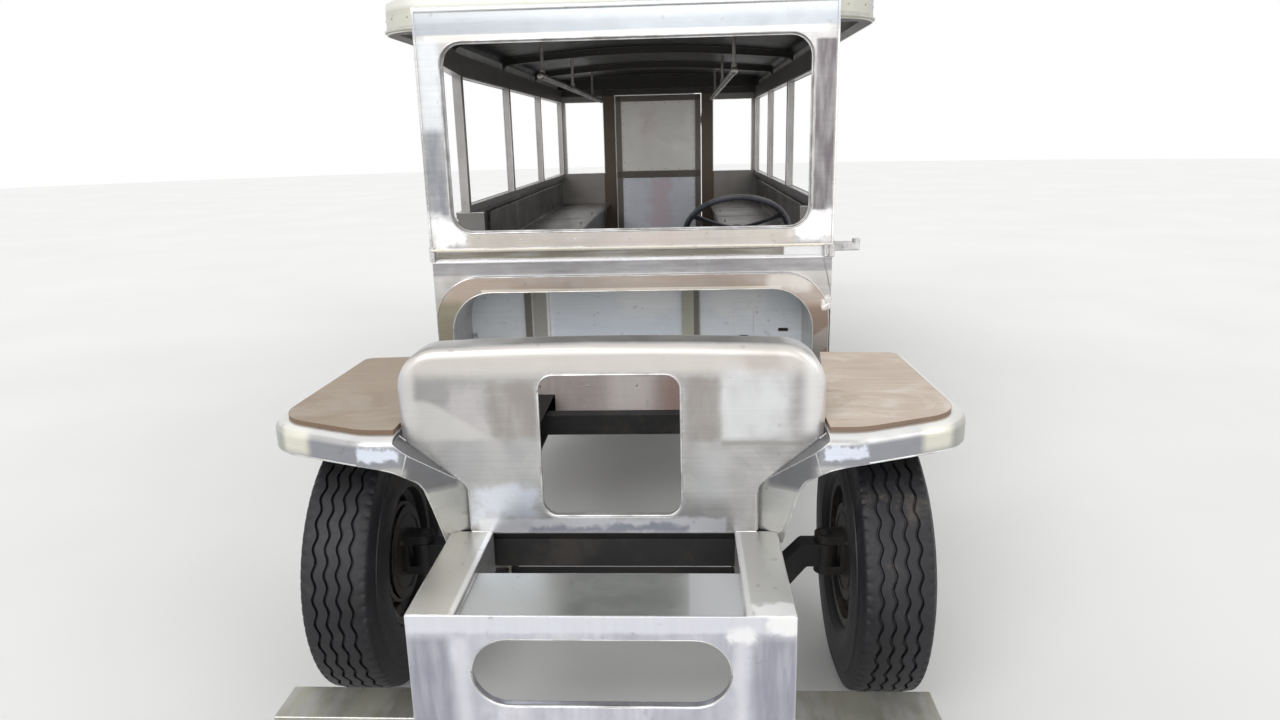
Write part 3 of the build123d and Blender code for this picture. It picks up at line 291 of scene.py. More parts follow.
paintLook = {
    "clouds": 5.0, "grain": 60.0, "cloudSpan": (0.35, 0.7), "cloudShare": 0.5, "lighter": (1.9, 0.01),
    "dust": 0.25, "dustTone": (120, 108, 92), "dustSpan": (0.58, 0.75),
    "wear": 0.35, "wearSpan": (0.35, 0.6), "edgeRadius": 0.003, "roughness": 0.5, "bump": (0.3, 0.0008),
}


def paintedSteel(name, paint, worn, **changes):
    # brushed-on paint that has worn at the folds and gathered dust in its hollows
    look = {**paintLook, **changes}
    finish = Finish(name)
    clouds = finish.noise(look["clouds"], 5, 0.6)
    grain = finish.noise(look["grain"], 4, 0.6)
    gain, lift = look["lighter"]
    lighter = [min(1.0, value * gain + lift) for value in rgb(*paint)]
    tone = finish.mix(finish.fade(clouds, *look["cloudSpan"]) * look["cloudShare"], rgb(*paint), lighter)
    dust = finish.fade(clouds + grain * 0.2, *look["dustSpan"]) * look["dust"]
    tone = finish.mix(dust, tone, rgb(*look["dustTone"]))
    wear = finish.edge(look["edgeRadius"]) * look["wear"] * finish.fade(grain, *look["wearSpan"])
    tone = finish.mix(wear, tone, rgb(*worn))
    rough = look["roughness"] + (clouds - 0.5) * 0.3 + (grain - 0.5) * 0.1
    return finish.close(Base_Color=tone, Roughness=rough,
                        Normal=finish.bump(clouds * 2 + grain, *look["bump"]))


def mottled(name, grain, clouds, stops, tones, rough, bump, cover=None, coverTone=None, **sockets):
    # tones in clouds under a fine grain; cover makes the mask of a second tone over them
    finish = Finish(name)
    grain, clouds = finish.noise(*grain, 0.6), finish.noise(*clouds, 0.6)
    tone = finish.ramp(clouds, stops, tones)
    masks = {"grain": grain - 0.5}
    if cover:
        masks["cover"] = cover(finish, grain, clouds)
        tone = finish.mix(masks["cover"], tone, rgb(*coverTone))
    if "clouds" in rough:
        masks["clouds"] = clouds - 0.5
    level = rough["base"]
    for key, mask in masks.items():
        level = level + mask * rough[key] if key in rough else level
    return finish.close(Base_Color=tone, Roughness=level, Normal=finish.bump(grain, *bump), **sockets)


rubber = mottled(
    "tyreRubber", grain=(90.0, 4), clouds=(6.0, 4), stops=(0.35, 0.6, 0.75),
    tones=((12, 12, 16), (20, 20, 26), (34, 33, 38)), rough={"base": 0.55, "grain": 0.25, "cover": 0.3},
    bump=(0.35, 0.0006), coverTone=(128, 116, 100),
    cover=lambda finish, grain, clouds: finish.fade(clouds + grain * 0.35, 0.74, 0.98) * 0.35)
# moulded steering wheel rim, its upper side lighter as a painted highlight
plastic = mottled(
    "wheelPlastic", grain=(140.0, 3), clouds=(9.0, 4), stops=(0.35, 0.65),
    tones=((34, 36, 44), (52, 54, 62)), rough={"base": 0.42, "grain": 0.2, "clouds": 0.2},
    bump=(0.2, 0.0004), coverTone=(140, 136, 128),
    cover=lambda finish, grain, clouds: finish.fade(finish.coord("nz"), 0.35, 0.95) * (0.35 + clouds * 0.4))
weld = mottled(
    "weldMetal", grain=(120.0, 4), clouds=(12.0, 4), stops=(0.3, 0.5, 0.7),
    tones=((158, 156, 154), (204, 203, 202), (232, 232, 234)), rough={"base": 0.36, "grain": 0.25},
    bump=(0.35, 0.0005), Metallic=1.0)
# bolts, nuts and clips
zinc = mottled(
    "zincPlate", grain=(150.0, 3), clouds=(30.0, 4), stops=(0.3, 0.55, 0.72),
    tones=((118, 114, 106), (168, 164, 156), (204, 200, 190)), rough={"base": 0.42, "grain": 0.3},
    bump=(0.3, 0.0004), coverTone=(110, 84, 60), Metallic=1.0,
    cover=lambda finish, grain, clouds: finish.fade(grain, 0.62, 0.72) * 0.5)

boardLook = {
    "tones": ((184, 166, 150), (202, 186, 170), (216, 202, 188)), "stops": (0.34, 0.5, 0.66),
    # worn and stained patches: scale, shift of the noise, span, share, tone
    "patches": ((3.4, (4, 1, 0), (0.5, 0.66), 0.6, (230, 222, 214)),
                (4.2, (9, 3, 0), (0.54, 0.7), 0.5, (176, 154, 134))),
    "duller": 0.62, "dullerTone": (138, 122, 102), "sideTone": (104, 80, 60), "rimTone": (120, 96, 76),
}


def boardWood():
    # a dusty board with long faint streaks across and a dark bare edge, duller on the right one
    look, finish = boardLook, Finish("boardWood")
    streaks = finish.noise(1.0, 4, 0.6, (3.5, 70, 70))
    clouds = finish.noise(5.0, 5, 0.6)
    fine = finish.noise(1.0, 3, 0.6, (14, 320, 320))
    tone = finish.ramp(streaks * 0.45 + clouds * 0.35 + fine * 0.2, look["stops"], look["tones"])
    for scale, shift, span, share, patchTone in look["patches"]:
        spots = finish.noise(scale, 5, 0.6, shift=shift, warp=0.8)
        tone = finish.mix(finish.fade(spots, *span) * share, tone, rgb(*patchTone))
    duller = finish.fade(finish.coord("x"), 0.2, -0.2) * look["duller"]
    tone = finish.mix(duller, tone, rgb(*look["dullerTone"]))
    tone = finish.mix(finish.fade(finish.coord("nz"), 0.6, 0.3) * 0.85, tone, rgb(*look["sideTone"]))
    tone = finish.mix(finish.edge(0.003) * 0.35, tone, rgb(*look["rimTone"]))
    return finish.close(Base_Color=tone, Roughness=0.62 + (fine - 0.5) * 0.2,
                        Normal=finish.bump(streaks + fine * 0.6, 0.3, 0.0008))


# named facings: how far a surface may turn and still count, some only near one station
facings = {
    "front": {"ny": (-1.4, -0.5)}, "fore": {"ny": (-1.4, -0.4)}, "back": {"ny": (0.4, 1.4)},
    "top": {"nz": (0.5, 1.4)}, "under": {"nz": (-1.4, -0.5)}, "below": {"nz": (-1.4, -0.4)},
    "ceiling": {"nz": (-1.4, 0.25), "z": (1.9, 2.17)},
    "arch": {"ny": (-1.4, -0.5), "y": (cowlY - 0.057, cowlY - 0.002)},
    "shelf": {"y": (cowlY - 0.017, cowlY + 0.013)}, "ribs": {"y": (firewallY - 0.03, firewallY + 0.005)},
}


def zone(tone, facing=None, **spans):
    return {"tone": tone, **facings.get(facing, {}), **spans}


def mirrored(side, low, high):
    # a span across for the left side, and turned over for the right
    return (low, high) if side > 0 else (-high, -low)


def groundSeams(places, facing=None):
    # bright strips where the seams between the sheets were ground
    return [zone((226, 226, 225), facing, y=(y - 0.04, y + 0.04), soft=0.014, ragged=0.016, tear=9.0,
                 amount=0.55) for y in places]


# painted shade: the ceiling and the faces turned into the cabin darker than their bare sheet
ceilingShadeTone, bronze, innerShadeTone = (26, 24, 24), (80, 70, 58), (96, 92, 88)

noseSteel = sheetSteel("noseSteel", [
    # painted highlight: the nose face lighter above the opening
    zone((213, 208, 202), "front", z=(1.043, 1.2), soft=0.022, amount=0.85),
    zone((186, 178, 172), "front", x=(0.345, 0.44), z=(1.046, 1.1), soft=0.022, ragged=0.01, amount=0.65),
    # painted reflection: a bright patch beside the opening
    zone((224, 225, 226), "front", x=(0.286, 0.462), z=(0.862, 1.05), soft=0.02, ragged=0.014, amount=0.8,
         tear=10.0, lines=(14, 9, 9)),
    # painted highlights on the rolled side rims, this zone and the next
    zone((238, 236, 234), x=(0.5, 0.575), z=(0.88, 1.075), soft=0.018, amount=0.7),
    zone((226, 223, 221), x=(-0.575, -0.505), z=(0.88, 1.08), soft=0.014, ragged=0.008, amount=0.6),
    zone((155, 149, 145), "front", x=(0.2, 0.286), z=(0.864, 1.034), soft=0.011, ragged=0.007, amount=0.85,
         lines=(30, 9, 9)),
    zone((196, 191, 192), "front", x=(-0.413, -0.324), z=(0.892, 1.014), soft=0.012, ragged=0.008,
         amount=0.7, lines=(30, 9, 9)),
    zone((154, 147, 142), "front", x=(-0.316, -0.188), z=(0.868, 1.026), soft=0.013, ragged=0.008,
         amount=0.8, lines=(30, 9, 9)),
    zone((158, 156, 155), "front", x=(-0.5, -0.418), z=(0.975, 1.03), soft=0.014, ragged=0.01, amount=0.7),
    # painted reflection: a bright slanting streak
    zone((208, 206, 203), "front", x=(-0.515, -0.29), z=(0.868, 0.976), cut=(0.64, 0.4, 0.676), soft=0.011,
         ragged=0.007, amount=0.75),
    # painted shadow: a thin dark line along the fold
    zone((158, 155, 152), "front", x=(0.289, 0.5), z=(0.85, 0.863), soft=0.005, ragged=0.003, amount=0.8),
    zone((176, 177, 180), "front", x=(-0.43, -0.19), z=(0.755, 0.862), soft=0.03, ragged=0.012, amount=0.5),
    zone((214, 219, 231), "front", x=(-0.372, -0.196), z=(0.65, 0.735), soft=0.02, ragged=0.03, amount=0.8,
         tear=9.0),
    zone((190, 190, 191), "front", x=(0.225, 0.3), z=(0.7, 0.845), soft=0.02, amount=0.6),
    zone((222, 224, 230), "front", x=(-0.36, 0.3), z=(0.6, 0.646), soft=0.006, ragged=0.012, amount=0.7,
         tear=10.0),
    zone((136, 141, 154), "front", x=(-0.22, 0.2), z=(0.6, 0.624), soft=0.008, ragged=0.022, amount=0.8,
         tear=14.0),
    zone((196, 200, 214), x=(-0.6, -0.535), z=(0.89, 1.12), soft=0.012, amount=0.3),
], tones=((152, 151, 150), (172, 171, 170), (192, 191, 189)), edge=0.75, edgeRadius=0.01, streaks=0.04)
bumperSteel = sheetSteel("bumperSteel", [
    # painted highlight along the rolled top of the face
    zone((226, 228, 235), "front", z=(0.566, 0.62), soft=0.006, ragged=0.004, amount=0.9),
    zone((150, 150, 164), "front", x=(0.338, 0.44), both=True, z=(0.215, 0.556), soft=0.016, amount=0.85,
         lines=(50, 9, 6)),
    zone((232, 232, 238), "front", x=(0.3, 0.33), both=True, z=(0.3, 0.556), soft=0.012, ragged=0.01,
         amount=0.6, tear=10.0),
    zone((252, 252, 252), "front", x=(0.372, 0.44), z=(0.566, 0.62), soft=0.008, ragged=0.012, tear=26.0),
    zone((248, 248, 250), "front", x=(0.285, 0.345), z=(0.545, 0.58), soft=0.01, ragged=0.012, tear=30.0),
    zone((160, 158, 138), x=(0.436, 0.8), both=True, z=(0.21, 0.36), soft=0.008, amount=0.85,
         lines=(34, 9, 9)),
    zone((206, 204, 184), x=(0.52, 0.6), both=True, z=(0.21, 0.36), soft=0.03, amount=0.5),
], tones=((178, 178, 190), (202, 202, 211), (224, 224, 230)), edge=0.8, brush=(60, 5, 5), roughness=0.32,
    streaks=0.05)
deckSteel = sheetSteel("deckSteel", [
    zone((180, 184, 182), "top", x=(-0.322, 0.322), z=(0.57, 0.6), soft=0.004, amount=0.85),
    zone((146, 151, 150), "top", x=(-0.09, 0.19), z=(0.57, 0.6), soft=0.022, ragged=0.012, amount=0.8),
    zone((204, 207, 210), "top", x=(0.2, 0.322), z=(0.57, 0.6), soft=0.005, amount=0.85),
    zone((202, 200, 190), "top", x=(-0.45, -0.322), soft=0.004, amount=0.8),
    zone((200, 200, 197), "top", x=(0.322, 0.45), soft=0.004, amount=0.8),
    zone((248, 248, 248), "top", x=(0.34, 0.45), y=(-3.02, -2.955), soft=0.01, ragged=0.014, tear=24.0),
    zone((240, 240, 240), "top", x=(0.326, 0.338), both=True, soft=0.003, amount=0.7),
], edge=0.9, roughness=0.36, streaks=0.03)


def fenderSteel(name, side):
    return sheetSteel(name, [
        zone((138, 140, 149), "fore", z=(0.815, 0.872), soft=0.006, amount=0.75),
        # painted shade on the inner flanks beside the nose
        zone((118, 118, 121), nx=mirrored(-side, 0.25, 1.4), x=(0.36, 0.6), both=True, y=(-2.7, -2.586),
             z=(0.735, 0.895), soft=0.004, amount=0.9),
        # painted highlight on the front lip
        zone((228, 234, 246), "fore", x=mirrored(side, 0.544, 0.652), z=(0.832, 0.868), soft=0.006,
             ragged=0.012, tear=26.0),
        zone((122, 122, 124), "fore", x=mirrored(side, 0.44, 0.53), z=(0.742, 0.868), soft=0.01,
             ragged=0.01, amount=0.85),
        zone((194, 194, 189), "fore", x=mirrored(side, 0.38, 0.52), z=(0.58, 0.742), soft=0.012,
             amount=0.7, lines=(14, 9, 40)),
        # painted highlight on the rolled outer end
        zone((244, 242, 224), x=mirrored(side, 0.806, 0.892), y=(-2.72, -2.4), z=(0.826, 0.9), soft=0.016,
             amount=0.75),
        # painted highlight on the faces turned up along the top
        zone((248, 248, 246), nz=(0.55, 1.4), z=(0.884, 0.9), soft=0.004, amount=0.6),
        zone((190, 190, 172), x=(0.9, 0.98), both=True, y=(-2.56, -1.8), z=(0.815, 0.885), soft=0.02,
             amount=0.5),
    ], edge=0.8)


cowlSteel = sheetSteel("cowlSteel", [
    zone((142, 140, 144), "front", z=(1.14, 1.189), soft=0.003, amount=0.75, lines=(7, 9, 60)),
    # painted shade in the recessed channel
    zone((122, 116, 102), "shelf", x=(-0.72, 0.56), z=(1.201, 1.228), soft=0.0015, amount=0.9,
         lines=(5, 9, 60)),
    # painted highlights: the channel's right end, the crease and the ledge
    zone((238, 238, 240), "shelf", x=(0.56, 0.72), z=(1.2, 1.23), soft=0.004, amount=0.8),
    zone((244, 242, 246), "front", z=(1.187, 1.197), soft=0.002, amount=0.9),
    zone((240, 232, 214), "front", z=(1.23, 1.243), soft=0.002, amount=0.9),
    zone((186, 168, 154), "arch", z=(0.83, 1.142), soft=0.004, amount=0.9, lines=(6, 6, 30)),
    # painted highlight along the lip's edge
    zone((232, 222, 208), "arch", x=(-0.55, 0.55), z=(1.082, 1.094), soft=0.002),
    zone((136, 134, 112), "arch", x=(-0.73, -0.62), z=(0.83, 1.05), soft=0.02, amount=0.7),
    zone((136, 116, 104), "arch", x=(0.64, 0.73), z=(0.83, 1.02), soft=0.02, amount=0.75),
    zone((176, 170, 164), "arch", x=(0.66, 0.74), cut=(-0.72, 0.345, 0.425), soft=0.006, amount=0.8),
    # painted highlight at the arch's right corner
    zone((246, 244, 240), y=(-1.6, -1.52), x=(0.694, 0.74), z=(1.005, 1.042), soft=0.006, ragged=0.008,
         tear=30.0),
    # painted highlight at the arch's right corner
    zone((240, 237, 232), "arch", x=(0.5, 0.66), z=(1.075, 1.142), soft=0.02, ragged=0.01, amount=0.7),
    zone((70, 62, 52), y=(-1.56, -1.535), x=(0.722, 0.76), z=(0.65, 0.995), soft=0.004, amount=0.9),
    zone(innerShadeTone, "back", soft=0.01, amount=0.8),
], edge=0.8, roughness=0.36)
firewallSteel = sheetSteel("firewallSteel", [
    # painted light: the front face brightened where the cowl keeps light off it; the near-white blotches
    # below are painted highlights
    zone((240, 246, 252), "front", z=(0.7, 1.09), soft=0.01, amount=0.9),
    zone((206, 214, 232), "front", x=(-0.346, 0.188), z=(0.7, 0.93), soft=0.05, amount=0.45,
         lines=(6, 9, 40)),
    zone((254, 254, 254), "front", x=(-0.05, 0.16), z=(0.95, 1.09), soft=0.04, ragged=0.03, amount=0.7),
    zone((254, 254, 254), "front", x=(0.3, 0.52), z=(0.93, 1.06), soft=0.05, ragged=0.04, amount=0.7),
    # the recess walls in painted light and shade: dark strips are painted shadow, the near-white strip a
    # painted highlight
    zone((94, 84, 68), "ribs", x=(-0.446, -0.414), z=(0.69, 1.09), soft=0.004, ragged=0.002, amount=0.9),
    zone((162, 157, 146), "ribs", x=(-0.412, -0.354), z=(0.69, 1.09), soft=0.004, amount=0.9),
    zone((246, 246, 250), "ribs", x=(-0.352, -0.334), z=(0.69, 1.09), soft=0.003),
    zone((172, 170, 150), "ribs", x=(0.186, 0.232), z=(0.69, 1.09), soft=0.003, amount=0.9),
    zone((98, 90, 72), "ribs", x=(0.233, 0.258), z=(0.69, 1.09), soft=0.003, amount=0.9),
    zone((120, 122, 124), "front", x=(-0.675, -0.645), z=(0.845, 0.868), soft=0.008, ragged=0.008, tear=40.0,
         amount=0.7),
    zone((180, 164, 158), "front", x=(-0.66, 0.66), z=(0.48, 0.7), soft=0.01, amount=0.85,
         lines=(60, 9, 9)),
    zone((222, 216, 212), "front", x=(-0.12, 0.06), z=(0.52, 0.7), soft=0.05, amount=0.7),
    zone((150, 112, 100), "front", x=(0.1, 0.4), z=(0.48, 0.7), soft=0.06, amount=0.6),
    zone(innerShadeTone, "back", amount=0.85),
], edge=0.6, metallic=0.05)
frameSteel = sheetSteel("frameSteel", [
    # painted light: the header darker below and lighter towards its top, with painted highlights along its
    # top and lower edges
    zone((170, 176, 182), "front", z=(1.984, 2.058), soft=0.005, amount=0.9),
    zone((210, 214, 218), "front", z=(2.032, 2.064), soft=0.022, amount=0.7),
    zone((246, 248, 250), ny=(-1.4, 0.2), z=(2.06, 2.1), soft=0.003, amount=0.95),
    zone((228, 220, 214), "front", x=(-0.7, 0.7), z=(1.963, 1.984), soft=0.004, amount=0.8),
    zone((222, 227, 231), "front", x=(-0.73, -0.655), z=(1.66, 1.97), soft=0.02, amount=0.7),
    zone((128, 132, 142), "front", x=(-0.735, -0.655), z=(1.35, 1.66), soft=0.025, ragged=0.01, amount=0.8,
         lines=(40, 9, 6)),
    zone((94, 88, 92), "front", x=(0.66, 0.729), z=(1.36, 1.94), soft=0.005, ragged=0.002, amount=0.9,
         lines=(40, 9, 6)),
    # painted highlight along the right post's outer edge
    zone((232, 226, 220), "front", x=(0.731, 0.742), z=(1.24, 1.97), soft=0.002, amount=0.8),
    zone((250, 250, 250), "front", x=(0.585, 0.74), both=True, z=(1.255, 1.36), soft=0.02, ragged=0.03,
         tear=14.0),
    zone((201, 193, 183), "front", x=(-0.6, 0.6), z=(1.243, 1.294), soft=0.004, amount=0.85,
         lines=(5, 9, 60)),
    zone((212, 190, 188), "front", x=(-0.1, 0.22), z=(1.243, 1.294), soft=0.05, amount=0.35),
    zone(innerShadeTone, "back", amount=0.8),
], edge=0.85, roughness=0.32, tones=((166, 164, 163), (190, 188, 187), (212, 211, 210)))


def roofSteel():
    # greenish-beige outside, painted shade darkening the inside
    first, last, sheets = -1.371, 2.735, 5
    seams = [first + (last - first) * k / sheets for k in range(sheets + 1)]
    return sheetSteel("roofSteel", [
        *groundSeams(seams, "top"),
        *[zone((178, 178, 178), "top", y=(seams[k], seams[k + 1]), soft=0.004, amount=0.28) for k in (0, 3)],
        zone((206, 206, 190), "front", z=(1.98, 2.12), soft=0.008, amount=0.75),
        # painted highlight along the top of the front edge, painted shade under it
        zone((238, 238, 232), z=(2.085, 2.12), ny=(-1.4, -0.2), soft=0.01, amount=0.7),
        zone((66, 62, 58), "under", z=(1.98, 2.016), soft=0.003, amount=0.92),
        zone(ceilingShadeTone, "ceiling", x=(-0.829, 0.829), y=(-1.33, 2.8), soft=0.001, amount=0.95),
        zone(ceilingShadeTone, "ceiling", x=(-0.685, 0.685), y=(-1.494, -1.33), soft=0.001, amount=0.95),
    ], edge=0.35, roughness=0.5, metallic=0.55)


def sideSteel(name, side):
    return sheetSteel(name, [
        *groundSeams([pillarY + postWidth / 2 + bayPitch * k for k in range(4)]),
        zone((182, 183, 184), y=(pillarY + bayPitch, pillarY + 2 * bayPitch), soft=0.004, amount=0.3),
        zone((186, 186, 184), z=(0.56, 0.75), soft=0.004, amount=0.3),
        zone((198, 196, 190), z=(1.268, 1.31), soft=0.003, amount=0.5),
        # painted shade on the inner faces and on the faces turned forward
        zone((62, 60, 58), nx=mirrored(-side, 0.4, 1.4), amount=0.9),
        zone((84, 81, 78), "fore", amount=0.85),
        zone((150, 138, 120), z=(0.54, 0.7), soft=0.05, ragged=0.03, amount=0.35),
    ], brush=(5, 150, 5), clouds=1.4)


def windowSteel(name, side):
    return sheetSteel(name, [
        # painted shade on the inner faces and on the faces turned forward
        zone((124, 120, 116), nx=mirrored(-side, 0.4, 1.4), amount=0.8),
        zone((118, 114, 110), "fore", amount=0.6),
    ], brush=(40, 40, 5), edge=0.5)


rearSteel = sheetSteel("rearSteel", [
    zone((226, 226, 225), "back", x=(0.785, 0.85), both=True, soft=0.014, ragged=0.016, tear=9.0,
         amount=0.55),
    zone((184, 184, 184), "back", z=(0.85, 1.11), soft=0.004, amount=0.3),
    # painted shade on the inner face, darkest along its top under the roof
    zone((112, 107, 102), "fore", amount=0.85),
    zone(bronze, "fore", x=(0.355, 0.462), both=True, soft=0.003, amount=0.9),
    zone((58, 54, 52), "fore", z=(1.955, 2.2), soft=0.004, amount=0.9),
])
doorSteel = sheetSteel("doorSteel", [
    # painted light: the panels facing the cabin brightened, with pink painted reflections on them
    zone((240, 237, 232), "fore", z=(1.34, 1.91), soft=0.01, amount=0.95),
    zone((224, 228, 237), "fore", z=(0.72, 1.29), soft=0.01, amount=0.95),
    zone((214, 178, 188), "fore", x=(-0.08, 0.1), z=(0.86, 1.29), soft=0.05, ragged=0.06, tear=9.0,
         amount=0.45),
    zone((216, 188, 194), "fore", x=(-0.14, -0.02), z=(1.62, 1.86), soft=0.05, ragged=0.05, tear=9.0,
         amount=0.3),
    zone(bronze, "fore", z=(1.288, 1.342), soft=0.002, amount=0.9),
    zone(bronze, "fore", x=(0.309, 0.36), both=True, soft=0.002, amount=0.9),
    zone(bronze, "fore", z=(1.909, 1.96), soft=0.002, amount=0.9),
], metallic=0.3)
# painted shade: a darker copy of the steel for the door's beading, its folds dimmer
shadedBeadSteel = sheetSteel("shadedBeadSteel", tones=((92, 86, 78), (122, 116, 106), (150, 144, 134)),
                       edge=0.3, edgeTone=(176, 172, 164))
plainSteel = sheetSteel("plainSteel")
# painted shade: a darker copy of the steel for the cabin's inner parts, darker still on faces turned down
shadedInnerSteel = sheetSteel("shadedInnerSteel", [zone(innerShadeTone, "below", amount=0.5)],
                        tones=((92, 88, 85), (122, 119, 116), (150, 147, 144)), edge=0.5)
floorSteel = sheetSteel("floorSteel", [
    zone((92, 86, 78), "top", soft=0.02, amount=0.5, lines=(3, 3, 3)),
    zone((70, 62, 54), "below", amount=0.8),
], tones=((92, 86, 79), (124, 119, 112), (150, 146, 140)), edge=0.4)
railSteel = sheetSteel("railSteel", tones=((104, 100, 96), (142, 139, 134), (176, 173, 168)),
                       brush=(5, 5, 5), edge=0.2)
chassisPaint = paintedSteel("chassisPaint", (15, 14, 14), (96, 86, 76), wear=0.45, roughness=0.6, dust=0.3,
                            dustTone=(76, 68, 60))
columnPaint = paintedSteel("columnPaint", (40, 40, 42), (150, 146, 140))
rimPaint = paintedSteel("rimPaint", (44, 43, 43), (128, 118, 108), wear=0.5, dust=0.5)
seatPaint = paintedSteel("seatPaint", (70, 72, 70), (170, 166, 160), dust=0.3)

nodeFinish = {
    "front_bumper": bumperSteel, "bumper_deck": deckSteel, "nose_shell": noseSteel, "cowl": cowlSteel,
    "firewall": firewallSteel, "windscreen_frame": frameSteel, "roof": roofSteel(), "rear_wall": rearSteel,
    "rear_door": doorSteel, "floor": floorSteel, "front_seats": seatPaint, "hand_rails": railSteel,
    "fender_boards": boardWood(), "steering_column": columnPaint, "steering_wheel": plastic,
}
for side, value in (("left", 1), ("right", -1)):
    nodeFinish[side + "_fender"] = fenderSteel(side + "FenderSteel", value)
    nodeFinish[side + "_side"] = sideSteel(side + "SideSteel", value)
    nodeFinish[side + "_window_frame"] = windowSteel(side + "WindowSteel", value)
    nodeFinish[side + "_knuckle"] = chassisPaint
    for end in ("front_", "rear_"):
        nodeFinish[end + side + "_rim"], nodeFinish[end + side + "_tyre"] = rimPaint, rubber
for finish, names in ((chassisPaint, "chassis_frame leaf_springs front_axle rear_axle fuel_tank tie_rod"),
                      (shadedInnerSteel, "wheel_boxes benches dashboard"), (plainSteel, "side_steps rear_step")):
    for name in names.split():
        nodeFinish[name] = finish
for name, node in nodes.items():
    for entry in node.material_slots:
        entry.material = nodeFinish[name].owner
print("finishes made for", len(nodeFinish), "nodes")


toFront, toBack, toTop, toGround = (0, -1, 0), (0, 1, 0), (0, 0, 1), (0, 0, -1)
outward, inward, bothSides = (1, 0, 0), (-1, 0, 0), (-1, 1)

# a bead's steps, ripples and chance in shares of its radius, and what is drawn in shares of size:
# rows of (radius, height) for a dome, a washer and a hexagon head; sink lets them reach into the sheet
beadLook = {"step": 1.1, "size": 0.8, "ripple": 0.22, "chance": 0.07, "sides": 8}
headLook = {
    "sink": -0.001, "dome": ((0.94, 0.45), (0.66, 0.85), (0.2, 1)), "washer": ((0.98, 0.14), (0.9, 0.2)),
    "hexagon": (0.8, 0.16, 0.1, 0.7), "washerSides": 20,
}


